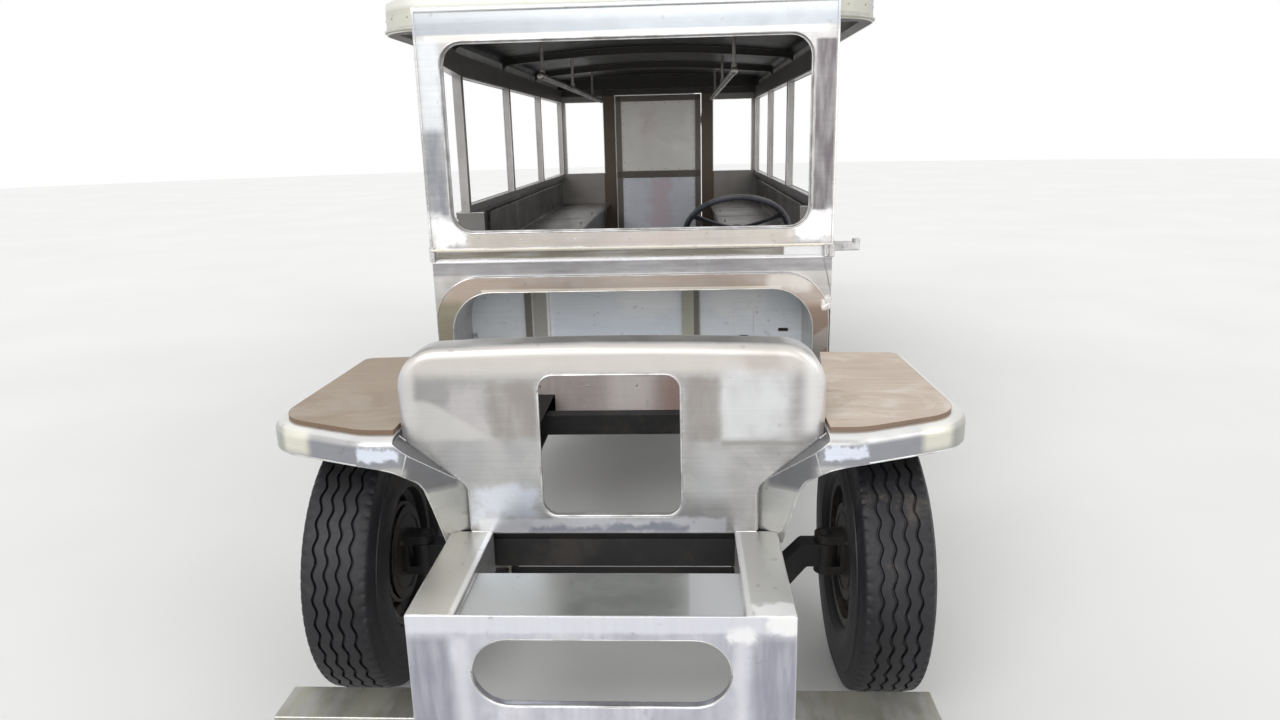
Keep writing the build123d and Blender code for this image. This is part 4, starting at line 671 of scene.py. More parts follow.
class Batch:
    # many forms gathered into one mesh; places count from the origin, and side -1 mirrors them
    def __init__(self, origin=(0, 0, 0), side=1, frame=None):
        self.points, self.faces, self.side = [], [], side
        self.origin, self.frame = Vector(origin), frame or Matrix.Identity(4)

    def way(self, direction):
        return Vector((direction[0] * self.side, direction[1], direction[2]))

    def at(self, place):
        return self.way(Vector(place) + self.origin)

    def facing(self, centre, normal):
        # a place whose Z axis points along the normal
        matrix = self.way(normal).to_track_quat("Z", "Y").to_matrix().to_4x4()
        matrix.translation = self.at(centre)
        return matrix

    def add(self, points, faces, matrix=None):
        place = self.frame @ matrix if matrix else self.frame
        start = len(self.points)
        self.points += [place @ Vector(p) for p in points]
        self.faces += [[start + i for i in face] for face in faces]

    def skin(self, points, width, closed=False, matrix=None):
        # faces over rings of points, each ring of the given width, with flat ends unless closed
        count = len(points) // width
        faces = [] if closed else [list(range(width)), [(count - 1) * width + k for k in range(width)]]
        for ring in range(count if closed else count - 1):
            here, there = ring * width, (ring + 1) % count * width
            faces += [[here + k, here + (k + 1) % width, there + (k + 1) % width, there + k]
                      for k in range(width)]
        self.add(points, faces, matrix)

    def box(self, low, high, chamfer=0.0015):
        # a block with its edges taken off: three points at each corner
        ends = self.at(low), self.at(high)
        ends[0].x, ends[1].x = sorted((ends[0].x, ends[1].x))
        points, faces = [], []
        corners = [(x, y, z) for x in (0, 1) for y in (0, 1) for z in (0, 1)]
        for corner in corners:
            full = [ends[corner[k]][k] for k in range(3)]
            inset = [full[k] + chamfer * (1 - 2 * corner[k]) for k in range(3)]
            points += [[full[k] if k == axis else inset[k] for k in range(3)] for axis in range(3)]
        index = {corner: number * 3 for number, corner in enumerate(corners)}
        for axis in range(3):
            first, second = [k for k in range(3) if k != axis]

            def spot(along, across, beyond):
                corner = [0, 0, 0]
                corner[axis], corner[first], corner[second] = along, across, beyond
                return index[tuple(corner)]

            for level in (0, 1):
                faces.append([spot(level, a, b) + axis for a, b in ((0, 0), (1, 0), (1, 1), (0, 1))])
                for other in (0, 1):
                    a, b = spot(0, level, other), spot(1, level, other)
                    faces.append([a + first, b + first, b + second, a + second])
        self.add(points, faces + [[3 * k, 3 * k + 1, 3 * k + 2] for k in range(8)])

    def turned(self, rows, centre=(0, 0, 0), normal=toTop, sides=20):
        # turned about the normal from (radius, height) rows
        angles = [math.tau * step / sides for step in range(sides)]
        points = [(radius * math.cos(a), radius * math.sin(a), height)
                  for radius, height in rows for a in angles]
        self.skin(points, sides, False, self.facing(centre, normal))

    def sweep(self, path, section, closed=False, up=toTop, swell=None):
        # a section of (across, up) points carried along a path
        path = [self.at(p) for p in path]
        points = []
        for index, point in enumerate(path):
            behind = path[index - 1] if closed or index else point
            ahead = path[(index + 1) % len(path)] if closed or index < len(path) - 1 else point
            along = (ahead - behind).normalized()
            across = along.cross(self.way(up))
            if across.length < 0.05:
                across = along.cross(Vector((1, 0, 0)))
            across.normalize()
            lift = across.cross(along)
            size = swell(index) if swell else 1.0
            points += [point + across * (a * size) + lift * (b * size) for a, b in section]
        self.skin(points, len(section), closed)

    def tube(self, path, radius, sides=8, closed=False, swell=None):
        angles = [math.tau * step / sides for step in range(sides)]
        self.sweep(path, [(radius * math.cos(a), radius * math.sin(a)) for a in angles], closed, swell=swell)

    def rod(self, start, end, radius, sides=8):
        self.tube([start, end], radius, sides)

    def bead(self, path, radius):
        # a weld bead, rippled and slightly uneven
        look, reach = beadLook, beadLook["chance"]
        path = resample(path, radius * look["step"])
        chance = random.Random(len(path))
        sizes = [look["size"] + look["ripple"] * (index % 2) + chance.uniform(-reach, reach)
                 for index in range(len(path))]
        self.tube(path, radius, look["sides"], False, lambda index: sizes[index])

    def seam(self, start, end, radius):
        self.bead([start, end], radius)

    def dome(self, centre, normal, radius, height, sides=8):
        # a rivet or screw head
        rows = [(radius * across, height * up) for across, up in headLook["dome"]]
        self.turned([(radius, headLook["sink"]), *rows], centre, normal, sides)

    def domes(self, centres, *look):
        for centre in centres:
            self.dome(centre, *look)

    def head(self, centre, normal, size, height):
        # a hexagon head or nut on a round washer
        washer = [(size * across, size * up) for across, up in headLook["washer"]]
        wide, foot, bevel, top = (size * share for share in headLook["hexagon"])
        self.turned([(washer[0][0], headLook["sink"]), *washer], centre, normal, headLook["washerSides"])
        self.turned([(wide, foot), (wide, height - bevel), (top, height)], centre, normal, 6)

    def heads(self, centres, *look):
        for centre in centres:
            self.head(centre, *look)

    def build(self, parts, sides=(1,)):
        # draws what the parts list under the names of the forms, once for each side
        forms = {
            "box": self.box, "turned": self.turned, "sweep": self.sweep, "tube": self.tube, "rod": self.rod,
            "bead": self.bead, "seam": self.seam, "dome": self.dome, "domes": self.domes,
            "head": self.head, "heads": self.heads,
        }
        for side in sides:
            self.side = side
            for kind, rows in parts.items():
                for row in rows:
                    forms[kind](*row)

    def piece(self, name, finish, slot, body="body", sharp=35):
        mesh = bpy.data.meshes.new(name)
        mesh.from_pydata([tuple(p) for p in self.points], [], self.faces)
        work = bmesh.new()
        work.from_mesh(mesh)
        bmesh.ops.recalc_face_normals(work, faces=work.faces)
        work.to_mesh(mesh)
        work.free()
        mesh.materials.append(finish.owner)
        mesh.shade_smooth()
        mesh.set_sharp_from_angle(angle=math.radians(sharp))
        made = bpy.data.objects.new(name, mesh)
        scene.collection.objects.link(made)
        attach(made, body)
        return made


def spaced(low, high, count):
    return [low + (high - low) * step / (count - 1) for step in range(count)]


def line(start, end, count):
    return [tuple(a + (b - a) * share for a, b in zip(start, end)) for share in spaced(0, 1, count)]


def circle(centre, radius, count, first=0.0, axis="x"):
    # places round a centre, starting at a share of one step, with the axis along x or y
    x, y, z = centre
    places = []
    for step in range(count):
        angle = math.tau * (step + first) / count
        across, up = radius * math.cos(angle), radius * math.sin(angle)
        places.append((x, y + across, z + up) if axis == "x" else (x + across, y, z + up))
    return places


def resample(path, step, closed=False):
    # the same path with points at even steps
    path = [Vector(p) for p in path]
    if closed:
        path = path + [path[0]]
    lengths = [0.0]
    for first, second in zip(path, path[1:]):
        lengths.append(lengths[-1] + (second - first).length)
    count = max(2, round(lengths[-1] / step))
    points, at = [], 0
    for index in range(count if closed else count + 1):
        distance = lengths[-1] * index / count
        while at < len(path) - 2 and lengths[at + 1] < distance:
            at += 1
        span = lengths[at + 1] - lengths[at]
        points.append(path[at].lerp(path[at + 1], (distance - lengths[at]) / span if span else 0.0))
    return points


def roundedLoop(rows, steps=7):
    # a closed outline through (across, up, corner radius) rows
    corners = [Vector(row[:2]) for row in rows]
    points = []
    for index, (across, up, radius) in enumerate(rows):
        here = corners[index]
        if not radius:
            points.append(here)
            continue
        back = (corners[index - 1] - here).normalized()
        ahead = (corners[(index + 1) % len(rows)] - here).normalized()
        half = back.angle(ahead) / 2
        reach = radius / math.tan(half)
        centre = here + (back + ahead).normalized() * (radius / math.sin(half))
        start, end = here + back * reach - centre, here + ahead * reach - centre
        turn = -start.angle_signed(end)
        points += [centre + Matrix.Rotation(turn * step / steps, 2) @ start for step in range(steps + 1)]
    return points


def atY(points, y):
    return [(a, y, b) for a, b in points]


def frameLoop(half, low, high, corner, y, steps=12, step=0.012):
    # a rounded upright frame facing front, resampled unless the step is zero
    rows = [(half, low, corner), (half, high, corner), (-half, high, corner), (-half, low, corner)]
    loop = atY(roundedLoop(rows, steps), y)
    return resample(loop, step, True) if step else loop


print("shape tools ready")

# tyres: ribs with wavy grooves, notched shoulders, ringed side walls
wheelZ = 0.4
tyreShape = {
    "radius": 0.3995, "crown": 0.006, "treadHalf": 0.083, "steps": 360, "waves": 36, "wave": 0.0048,
    "grooves": (-0.05, -0.0165, 0.0165, 0.05), "grooveHalf": 0.004, "depth": 0.009, "notches": 72,
    "notchDepth": 0.0035, "notchedFrom": 0.377, "sharp": 28,
    "wall": ((0.0852, 0.3925), (0.0884, 0.3898), (0.0915, 0.3845), (0.0942, 0.3768), (0.0954, 0.3745),
             (0.0975, 0.365), (0.1003, 0.352), (0.101, 0.3508), (0.1038, 0.35), (0.1046, 0.344),
             (0.1036, 0.3385), (0.1062, 0.318), (0.1073, 0.3), (0.1073, 0.282), (0.106, 0.264),
             (0.103, 0.25), (0.1038, 0.2475), (0.1026, 0.243), (0.099, 0.24), (0.0935, 0.2325),
             (0.086, 0.2262), (0.0795, 0.2225), (0.0764, 0.22), (0.0757, 0.208), (0.0757, 0.2035)),
}


def tyreProfile():
    # (across, radius, share of the wave, share of the shoulder notch) from one bead to the other
    shape = tyreShape
    half, depth = shape["grooveHalf"], shape["depth"]
    cuts = ((-half - 0.004, 0), (-half - 0.0007, 0), (-half, 0.0009), (-half + 0.0014, depth),
            (half - 0.0014, depth), (half, 0.0009), (half + 0.0007, 0), (half + 0.004, 0))

    def crown(across):
        return shape["radius"] - shape["crown"] * (across / shape["treadHalf"]) ** 2

    edge = [(0.07, 0), (0.0755, 1), (shape["treadHalf"], 1)]
    tread = [(-across, crown(across), 0, notch) for across, notch in reversed(edge)]
    for middle in shape["grooves"]:
        tread += [(middle + offset, crown(middle + offset) - drop, 1, 0) for offset, drop in cuts]
    tread += [(across, crown(across), 0, notch) for across, notch in edge]
    wall = [(a, r, 0, 0.8 if r > shape["notchedFrom"] else 0) for a, r in shape["wall"]]
    return [(-a, r, w, n) for a, r, w, n in reversed(wall)] + tread + wall


def makeTyre(place, batch):
    shape, profile, points = tyreShape, tyreProfile(), []
    for step in range(shape["steps"]):
        angle = math.tau * step / shape["steps"]
        shift = shape["wave"] * math.sin(shape["waves"] * angle)
        low = 0.0 if step % (shape["steps"] // shape["notches"]) else shape["notchDepth"]
        for across, radius, waveShare, notchShare in profile:
            r = radius - low * notchShare
            points.append(batch.at((across + shift * waveShare, r * math.cos(angle), r * math.sin(angle))))
    batch.skin(points, len(profile), True)
    made = batch.piece(place + "_tread_tyre", rubber, "tyre_rubber", place + "_wheel", shape["sharp"])
    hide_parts(place + "_tyre")


wheelPlaces = (
    # name, across, along, side
    ("front_left", 0.745, frontAxleY, 1), ("front_right", 0.745, frontAxleY, -1),
    ("rear_left", 0.71, rearAxleY, 1), ("rear_right", 0.71, rearAxleY, -1),
)
studPlaces = circle((0.024, 0, 0), 0.085, 6)
valveAngle = 0.52
valvePath = [(x, r * math.cos(valveAngle), r * math.sin(valveAngle))
             for x, r in ((0.03, 0.183), (0.052, 0.19), (0.072, 0.178), (0.07, 0.1785))]
wheelNuts = {
    "heads": [(studPlaces, outward, 0.0165, 0.0205)],
    "turned": [
        *[(((0.006, 0.0), (0.006, 0.0255), (0.0045, 0.0275)), stud, outward, 12) for stud in studPlaces],
        # the cap over the hub and the one on the valve
        (((0.038, 0.0), (0.038, 0.01), (0.036, 0.0125), (0.033, 0.019), (0.026, 0.0235), (0.012, 0.026),
          (0.004, 0.0263)), (0.06, 0, 0), outward, 32),
        (((0.0052, 0.0), (0.0052, 0.011), (0.004, 0.013)), valvePath[3], outward, 12)],
    "tube": [(valvePath[:3], 0.0038, 10)],
}
wheelRings = {
    # ribs of the drum, flanges of the rim, ring round the disc
    "tube": [*[(circle((across, 0, 0), 0.1505, 72), 0.0028, 8, True) for across in (-0.06, -0.047, -0.034)],
             *[(circle((across, 0, 0), 0.2175, 96), 0.003, 8, True) for across in (-0.0795, 0.0795)],
             (circle((0.022, 0, 0), 0.155, 72), 0.0022, 6, True)],
}
for place, x, y, side in wheelPlaces:
    makeTyre(place, Batch((x, y, wheelZ), side))
    for name, parts, finish in (("nuts", wheelNuts, zinc), ("rings", wheelRings, rimPaint)):
        batch = Batch((x, y, wheelZ))
        batch.build(parts, (side,))
        batch.piece(place + "_wheel_" + name, finish, "rim_paint", place + "_wheel")
print("tyres and wheel fittings made")

backingPlate = {
    "turned": [(((0.143, 0), (0.143, 0.004), (0.139, 0.0055), (0.05, 0.0055)), (0.669, 0, 0), outward, 48)],
    "tube": [(circle((0.668, 0, 0), 0.115, 48), 0.0025, 8, True)],
    "heads": [(circle((0.669, 0, 0), 0.07, 4, 0.5), inward, 0.009, 0.008)],
    "dome": [((0.615, 0, 0.0615), toTop, 0.016, 0.006, 16),
             ((0.615, 0, -0.0615), toGround, 0.016, 0.006, 16)],
}
for side, body in ((1, "left_steer"), (-1, "right_steer")):
    batch = Batch((0, frontAxleY, wheelZ))
    batch.build(backingPlate, (side,))
    batch.piece(body + "_backing_plate", chassisPaint, "chassis_paint", body)

helm = {
    "centre": (0.42, -1.04, 1.235), "tilt": -45.0, "radius": 0.212, "tube": 0.0128, "grips": 44,
    "gripDepth": 0.002, "spokes": (90, 210, 330), "spokeHalf": 0.0135, "steps": 264, "sides": 18,
    "spokeRing": ((-1, -0.5), (-1, 0.5), (-0.72, 1), (-0.35, 0.55), (0.35, 0.55), (0.72, 1), (1, 0.5),
                  (1, -0.5), (0.7, -1), (-0.7, -1)),
    "hub": ((0.026, -0.029), (0.034, -0.026), (0.036, -0.018), (0.036, 0.004), (0.034, 0.008),
            (0.03, 0.0095), (0.028, 0.0088), (0.027, 0.0105), (0.024, 0.0125), (0.012, 0.014),
            (0.004, 0.0142)),
}


def makeSteeringWheel():
    tilt = Matrix.Rotation(math.radians(helm["tilt"]), 4, "X")
    batch, points = Batch(frame=Matrix.Translation(helm["centre"]) @ tilt), []
    for step in range(helm["steps"]):
        angle = math.tau * step / helm["steps"]
        ripple = 0.5 - 0.5 * math.cos(angle * helm["grips"])
        for s in range(helm["sides"]):
            around = math.tau * s / helm["sides"]
            r = helm["tube"] - helm["gripDepth"] * ripple * max(0.0, -math.sin(around))
            reach = helm["radius"] + r * math.cos(around)
            points.append((reach * math.cos(angle), reach * math.sin(angle), r * math.sin(around)))
    batch.skin(points, helm["sides"], True)
    for degrees in helm["spokes"]:
        points = []
        for share in spaced(0, 1, 15):
            along = 0.026 + (helm["radius"] - 0.03) * share
            half = helm["spokeHalf"] - 0.005 * math.sin(math.pi * share) + 0.04 * max(0.0, share - 0.9)
            lift = 0.006 * (1 - share) ** 2 - 0.002
            points += [(along, half * a, lift + 0.0048 * b) for a, b in helm["spokeRing"]]
        batch.skin(points, len(helm["spokeRing"]), False, Matrix.Rotation(math.radians(degrees), 4, "Z"))
    batch.turned(helm["hub"], sides=40)
    made = batch.piece("hand_steering_wheel", plastic, "wheel_plastic", "hand_wheel")
    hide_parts("steering_wheel")


makeSteeringWheel()
print("steering wheel made")


def makePiece(name, finish, slot, paired, single=None, origin=(0, 0, 0), body="body"):
    # a piece from the parts that both sides have and those that stand once
    batch = Batch(origin)
    batch.build(paired, bothSides)
    batch.build(single or {})
    return batch.piece(name, finish, slot, body)


# weld beads and rolled rims on the front sheet metal
deckTop, bumperY = 0.609, -3.012
frontPaired = {
    "bead": [([(x, noseY + 0.004, z) for x, z in ((0.5575, 0.882), (0.45, 0.792), (0.3905, 0.742),
                                                  (0.3835, 0.728), (0.3835, 0.612))], 0.0016)],
    "seam": [
        ((0.324, -3.009, deckTop - 0.0005), (0.324, noseY - 0.002, deckTop - 0.0005), 0.0014),
        ((0.434, -3.009, deckTop - 0.0005), (0.434, -2.86, deckTop - 0.0005), 0.0014),
        ((0.326, -3.0105, deckTop), (0.432, -3.0105, deckTop), 0.002),
        ((0.326, noseY - 0.001, deckTop), (0.38, noseY - 0.001, deckTop), 0.0024),
        ((0.323, -3.008, 0.595), (0.323, -2.796, 0.595), 0.0022),
        ((0.4365, -3.013, 0.218), (0.4365, -3.013, 0.344), 0.0016),
        ((0.4365, -3.01, 0.3455), (0.4365, -2.902, 0.3455), 0.0024)],
}
frontSingle = {
    # rims of the nose opening and of the bumper's slot
    "tube": [(frameLoop(0.1845, 0.654, 1.043, 0.041, noseY + 0.0005, 10, 0.006), 0.003, 8, True),
             (frameLoop(0.294, 0.379, 0.55, 0.085, bumperY, 12, 0.006), 0.003, 8, True)],
    "seam": [((-0.32, -3.0095, 0.5952), (0.32, -3.0095, 0.5952), 0.002)],
}
makePiece("front_weld_beads", weld, "bare_steel", frontPaired, frontSingle)

fenderShape = {
    # the plan's (across, along, corner radius) rows, counted from the nose; heights of the valance and seam
    "plan": ((0.382, 0.02, 0), (0.522, -0.062, 0.05), (0.64, -0.062, 0.18), (0.962, 0.073, 0.18),
             (0.943, 0.775, 0.035), (0.66, 0.8, 0), (0.566, 0.095, 0), (0.382, 0.095, 0)),
    "valance": ((0.443, 0.6), (0.456, 0.64), (0.47, 0.68), (0.477, 0.715), (0.487, 0.745),
                (0.501, 0.769), (0.525, 0.787), (0.56, 0.803), (0.605, 0.814), (0.66, 0.8195)),
    "seam": ((0.5215, 0.849), (0.526, 0.833), (0.531, 0.815), (0.536, 0.796)),
    "outerFrom": 0.655, "outerTo": 0.775, "edgeZ": 0.8205,
}


def makeFenderRims():
    # wired edge along each fender's lower edge
    shape = fenderShape
    plan = roundedLoop(shape["plan"], 14)

    def front(x):
        # how far back the plan's front lies at a place across
        for first, second in zip(plan, plan[1:]):
            if first.x <= x <= second.x and second.x > first.x:
                return first.y + (second.y - first.y) * (x - first.x) / (second.x - first.x)

    outer = [p for p in plan if p.x > shape["outerFrom"] and p.y < shape["outerTo"]]
    makePiece("fender_rims", weld, "bare_steel", {
        "tube": [(resample([(x, front(x) + 0.003, z) for x, z in shape["valance"]], 0.012), 0.003),
                 (resample([(p.x - 0.0035, p.y + 0.0005, shape["edgeZ"]) for p in outer], 0.014), 0.0032)],
        "bead": [([(x, front(x) - 0.0004, z) for x, z in shape["seam"]], 0.0026)],
    }, origin=(0, noseY, 0))


makeFenderRims()
print("front seams made")

cowlSingle = {
    # places along the vehicle count from the cowl's front
    "box": [((0.7, -0.034, 1.194), (0.738, 0.002, 1.24), 0.003),
            ((0.708, -0.041, 1.203), (0.73, -0.033, 1.231), 0.002),
            ((0.7345, 0.01, 1.204), (0.741, 0.075, 1.249), 0.0015),
            ((0.739, 0.012, 1.21), (0.835, 0.022, 1.244), 0.003),
            ((-0.74, -0.012, 1.196), (-0.721, 0.001, 1.251), 0.002)],
    "rod": [((0.719, -0.044, 1.198), (0.719, -0.044, 1.236), 0.0042, 12)],
    "turned": [(((0.015, -0.006), (0.015, 0.006), (0.013, 0.008)), (0.822, 0.017, 1.245), toTop, 20)],
    "head": [((0.778, 0.012, 1.227), toFront, 0.008, 0.007)],
    "domes": [([(-0.7305, -0.012, 1.208), (-0.7305, -0.012, 1.236)], toFront, 0.0048, 0.003)],
    "bead": [([(0.705, -0.0015, 1.186), (0.718, -0.0015, 1.13), (0.733, -0.0015, 1.06)], 0.0016),
             ([(-0.733, -0.0008, 1.2425), (0.733, -0.0008, 1.2425)], 0.0013),
             ([(0.699, -0.041, 1.01), (0.7225, -0.041, 1.026), (0.734, -0.02, 1.038)], 0.003)],
    # rims of the bonnet arch and of the lip before it
    "tube": [(resample(atY(roundedLoop([(half, foot, 0), (half, top, corner), (-half, top, corner),
                                        (-half, foot, 0)], 14), -0.0395), 0.012), radius)
             for half, top, foot, corner, radius in ((0.6645, 1.0825, 0.66, 0.15, 0.0022),
                                                     (0.7215, 1.1385, 0.836, 0.165, 0.0018))],
}
firewallBolts = {
    "domes": [([(x, -0.0002, 1.07 if abs(x) < 0.55 else 1.02) for x in spaced(-0.64, 0.64, 9)], toFront,
               0.0042, 0.0022),
              (line((-0.6, -0.0062, 0.64), (0.6, -0.0062, 0.64), 7), toFront, 0.005, 0.0026)],
    "heads": [(line((-0.64, -0.006, 0.7), (0.64, -0.006, 0.7), 9), toFront, 0.0075, 0.006)],
}
holeCover = {"box": [((0.392, -0.0026, 0.846), (0.474, -0.0001, 0.952), 0.0006)]}
screenHalf, screenLow, screenHigh, screenCorner, channelInset = 0.655, 1.297, 1.964, 0.079, 0.003
screenPaired = {
    "seam": [((0.7355, -0.0045, 1.246), (0.7355, -0.0045, 1.262), 0.0018)],
    "domes": [(line((0.7305, -0.0062, 1.4), (0.7305, -0.0062, 1.88), 3), toFront, 0.0032, 0.0016),
              ([(0.7372, 0.024, z) for z in (1.3, 1.42, 1.84, 1.96)], outward, 0.0045, 0.0022)],
}
screenSingle = {
    "tube": [(frameLoop(screenHalf, screenLow, screenHigh, screenCorner, depth), 0.003, 8, True)
             for depth in (0.0008, 0.0492)],
    # the channel that would hold the glass
    "sweep": [(frameLoop(screenHalf - channelInset, screenLow + channelInset, screenHigh - channelInset,
                         screenCorner - channelInset, 0.025, 12, 0.014),
               ((0.0045, -0.004), (0.0045, 0.004), (-0.0045, 0.004), (-0.0045, 0.0015), (0.001, 0.0015),
                (0.001, -0.0015), (-0.0045, -0.0015), (-0.0045, -0.004)), True, toBack)],
    "domes": [(line((-0.6, -0.0002, 1.27), (0.6, -0.0002, 1.27), 7), toFront, 0.0034, 0.0016)],
}
makePiece("cowl_fittings", weld, "bare_steel", {}, cowlSingle, (0, cowlY, 0))
makePiece("firewall_bolts", zinc, "bare_steel", {}, firewallBolts, (0, firewallY, 0))
makePiece("shaft_hole_cover", firewallSteel, "bare_steel", {}, holeCover, (0, firewallY, 0))
makePiece("windscreen_fittings", weld, "bare_steel", screenPaired, screenSingle, (0, cowlY, 0))
print("cowl and windscreen fittings made")

# roof: drip moulding, cross seams and rivets
roofShape = {"half": 0.885, "edge": 2.105, "rise": 0.07, "flat": 0.3, "front": -1.531, "back": 2.855,
             "frontCorner": 0.2, "rearCorner": 0.06, "seams": 6, "rivetStep": 0.085, "rivetZ": 2.052,
             "gutterZ": 2.02, "hemZ": 2.0062,
             "fold": ((-0.011, -0.0002), (-0.0095, 0.002), (0.0095, 0.002), (0.011, -0.0002)),
             "gutter": ((-0.0015, -0.009), (0.0075, -0.009), (0.0085, -0.004), (0.007, -0.003),
                        (0.006, -0.0065), (0.0008, -0.0065), (0.0008, 0.009), (-0.0015, 0.009))}
roofSlope = math.atan(roofShape["rise"] / roofShape["half"])
roofRadius = ((math.hypot(roofShape["half"], roofShape["rise"]) - roofShape["flat"])
              * roofShape["half"] / roofShape["rise"])
roofTop = roofShape["edge"] + roofShape["rise"] - roofRadius * (1 / math.cos(roofSlope) - 1)
roofTrimSteel = sheetSteel("roofTrimSteel", tones=((168, 167, 158), (194, 193, 184), (214, 213, 204)),
                           edge=0.4, roughness=0.44)


def roofZ(x, lift=0.0):
    # the skin's height, kept under its highest line
    if abs(x) <= roofRadius * math.sin(roofSlope):
        z = roofTop - roofRadius + math.sqrt(roofRadius ** 2 - x * x)
    else:
        z = roofShape["edge"] + roofShape["rise"] * (1 - abs(x) / roofShape["half"])
    return min(z + lift, roofTop)


def roofLoop(out, z):
    half, front, back = roofShape["half"] + out, roofShape["front"] - out, roofShape["back"] + out
    fore, aft = roofShape["frontCorner"] + out, roofShape["rearCorner"] + out
    rows = [(half, front, fore), (half, back, aft), (-half, back, aft), (-half, front, fore)]
    return [(p.x, p.y, z) for p in roundedLoop(rows, 10)]


def makeRoofTrim():
    trim, rivets, shape = Batch(), Batch(), roofShape
    trim.sweep(resample(roofLoop(0.0008, shape["gutterZ"]), 0.03, True), shape["gutter"], True)
    trim.tube(resample(roofLoop(-0.0012, shape["hemZ"]), 0.03, True), 0.003, 8, True)
    for y in spaced(shape["front"] + 0.16, shape["back"] - 0.12, shape["seams"]):
        points = [(x, y + a, roofZ(x, b)) for x in spaced(-0.832, 0.832, 61) for a, b in shape["fold"]]
        trim.skin(points, len(shape["fold"]))
        for x in spaced(-0.82, 0.82, 29):
            if abs(x) > 0.24:
                lean = (math.copysign(0.079, x), 0, 1)
                rivets.dome((x, y + 0.004, roofZ(x) + 0.001), lean, 0.0042, 0.0022)
    chain = resample(roofLoop(0.0, shape["rivetZ"]), shape["rivetStep"], True)
    middle = Vector((0, (shape["front"] + shape["back"]) / 2, shape["rivetZ"]))
    for index, point in enumerate(chain):
        along = chain[(index + 1) % len(chain)] - chain[index - 1]
        out = along.cross(Vector(toTop))
        rivets.dome(point, out if out.dot(point - middle) > 0 else -out, 0.004, 0.002)
    trim.piece("roof_trim", roofTrimSteel, "bare_steel")
    rivets.piece("roof_rivets", zinc, "bare_steel")


makeRoofTrim()
print("roof trim made")

sideFit = {
    # across: wall, window frame, post before the door opening, sill under it
    "face": 0.86, "window": 0.84, "post": 0.735, "sill": 0.76,
    # heights: hem, upper end of the mouldings and of their rivets, swages, row of rivets, ledge, posts
    "low": 0.56, "high": 1.262, "rivetHigh": 1.245, "swage": 0.75, "upperSwage": 1.15, "row": 1.285,
    "ledge": 1.2985, "postRivets": (1.316, 1.345, 1.9, 1.93, 1.985), "headRivets": 1.96,
    "glass": (1.3315, 1.9085), "glassDepths": (0.003, 0.037),
    # radius and height of the two sorts of rivet, their distance from a moulding, steps along and up
    "rivet": (0.004, 0.002), "bigRivet": (0.0045, 0.0022), "beside": 0.014, "rowStep": 0.115, "step": 0.062,
    # radii round the rear wheel: lip and moulding
    "arch": 0.47, "hoop": 0.492,
    "moulding": ((-0.0065, -0.0005), (-0.0055, 0.0022), (-0.003, 0.0036), (0.003, 0.0036),
                 (0.0055, 0.0022), (0.0065, -0.0005)),
}
# middles of the window posts
postPlaces = [pillarY + postWidth / 2 + bayPitch * post for post in range(4)]


def archArc(radius, first, last, count, out):
    # places over the rear wheel, the angles in degrees
    angles = [math.radians(degrees) for degrees in spaced(first, last, count)]
    return [(sideFit["face"] + out, rearAxleY + radius * math.cos(a), wheelZ + radius * math.sin(a))
            for a in angles]


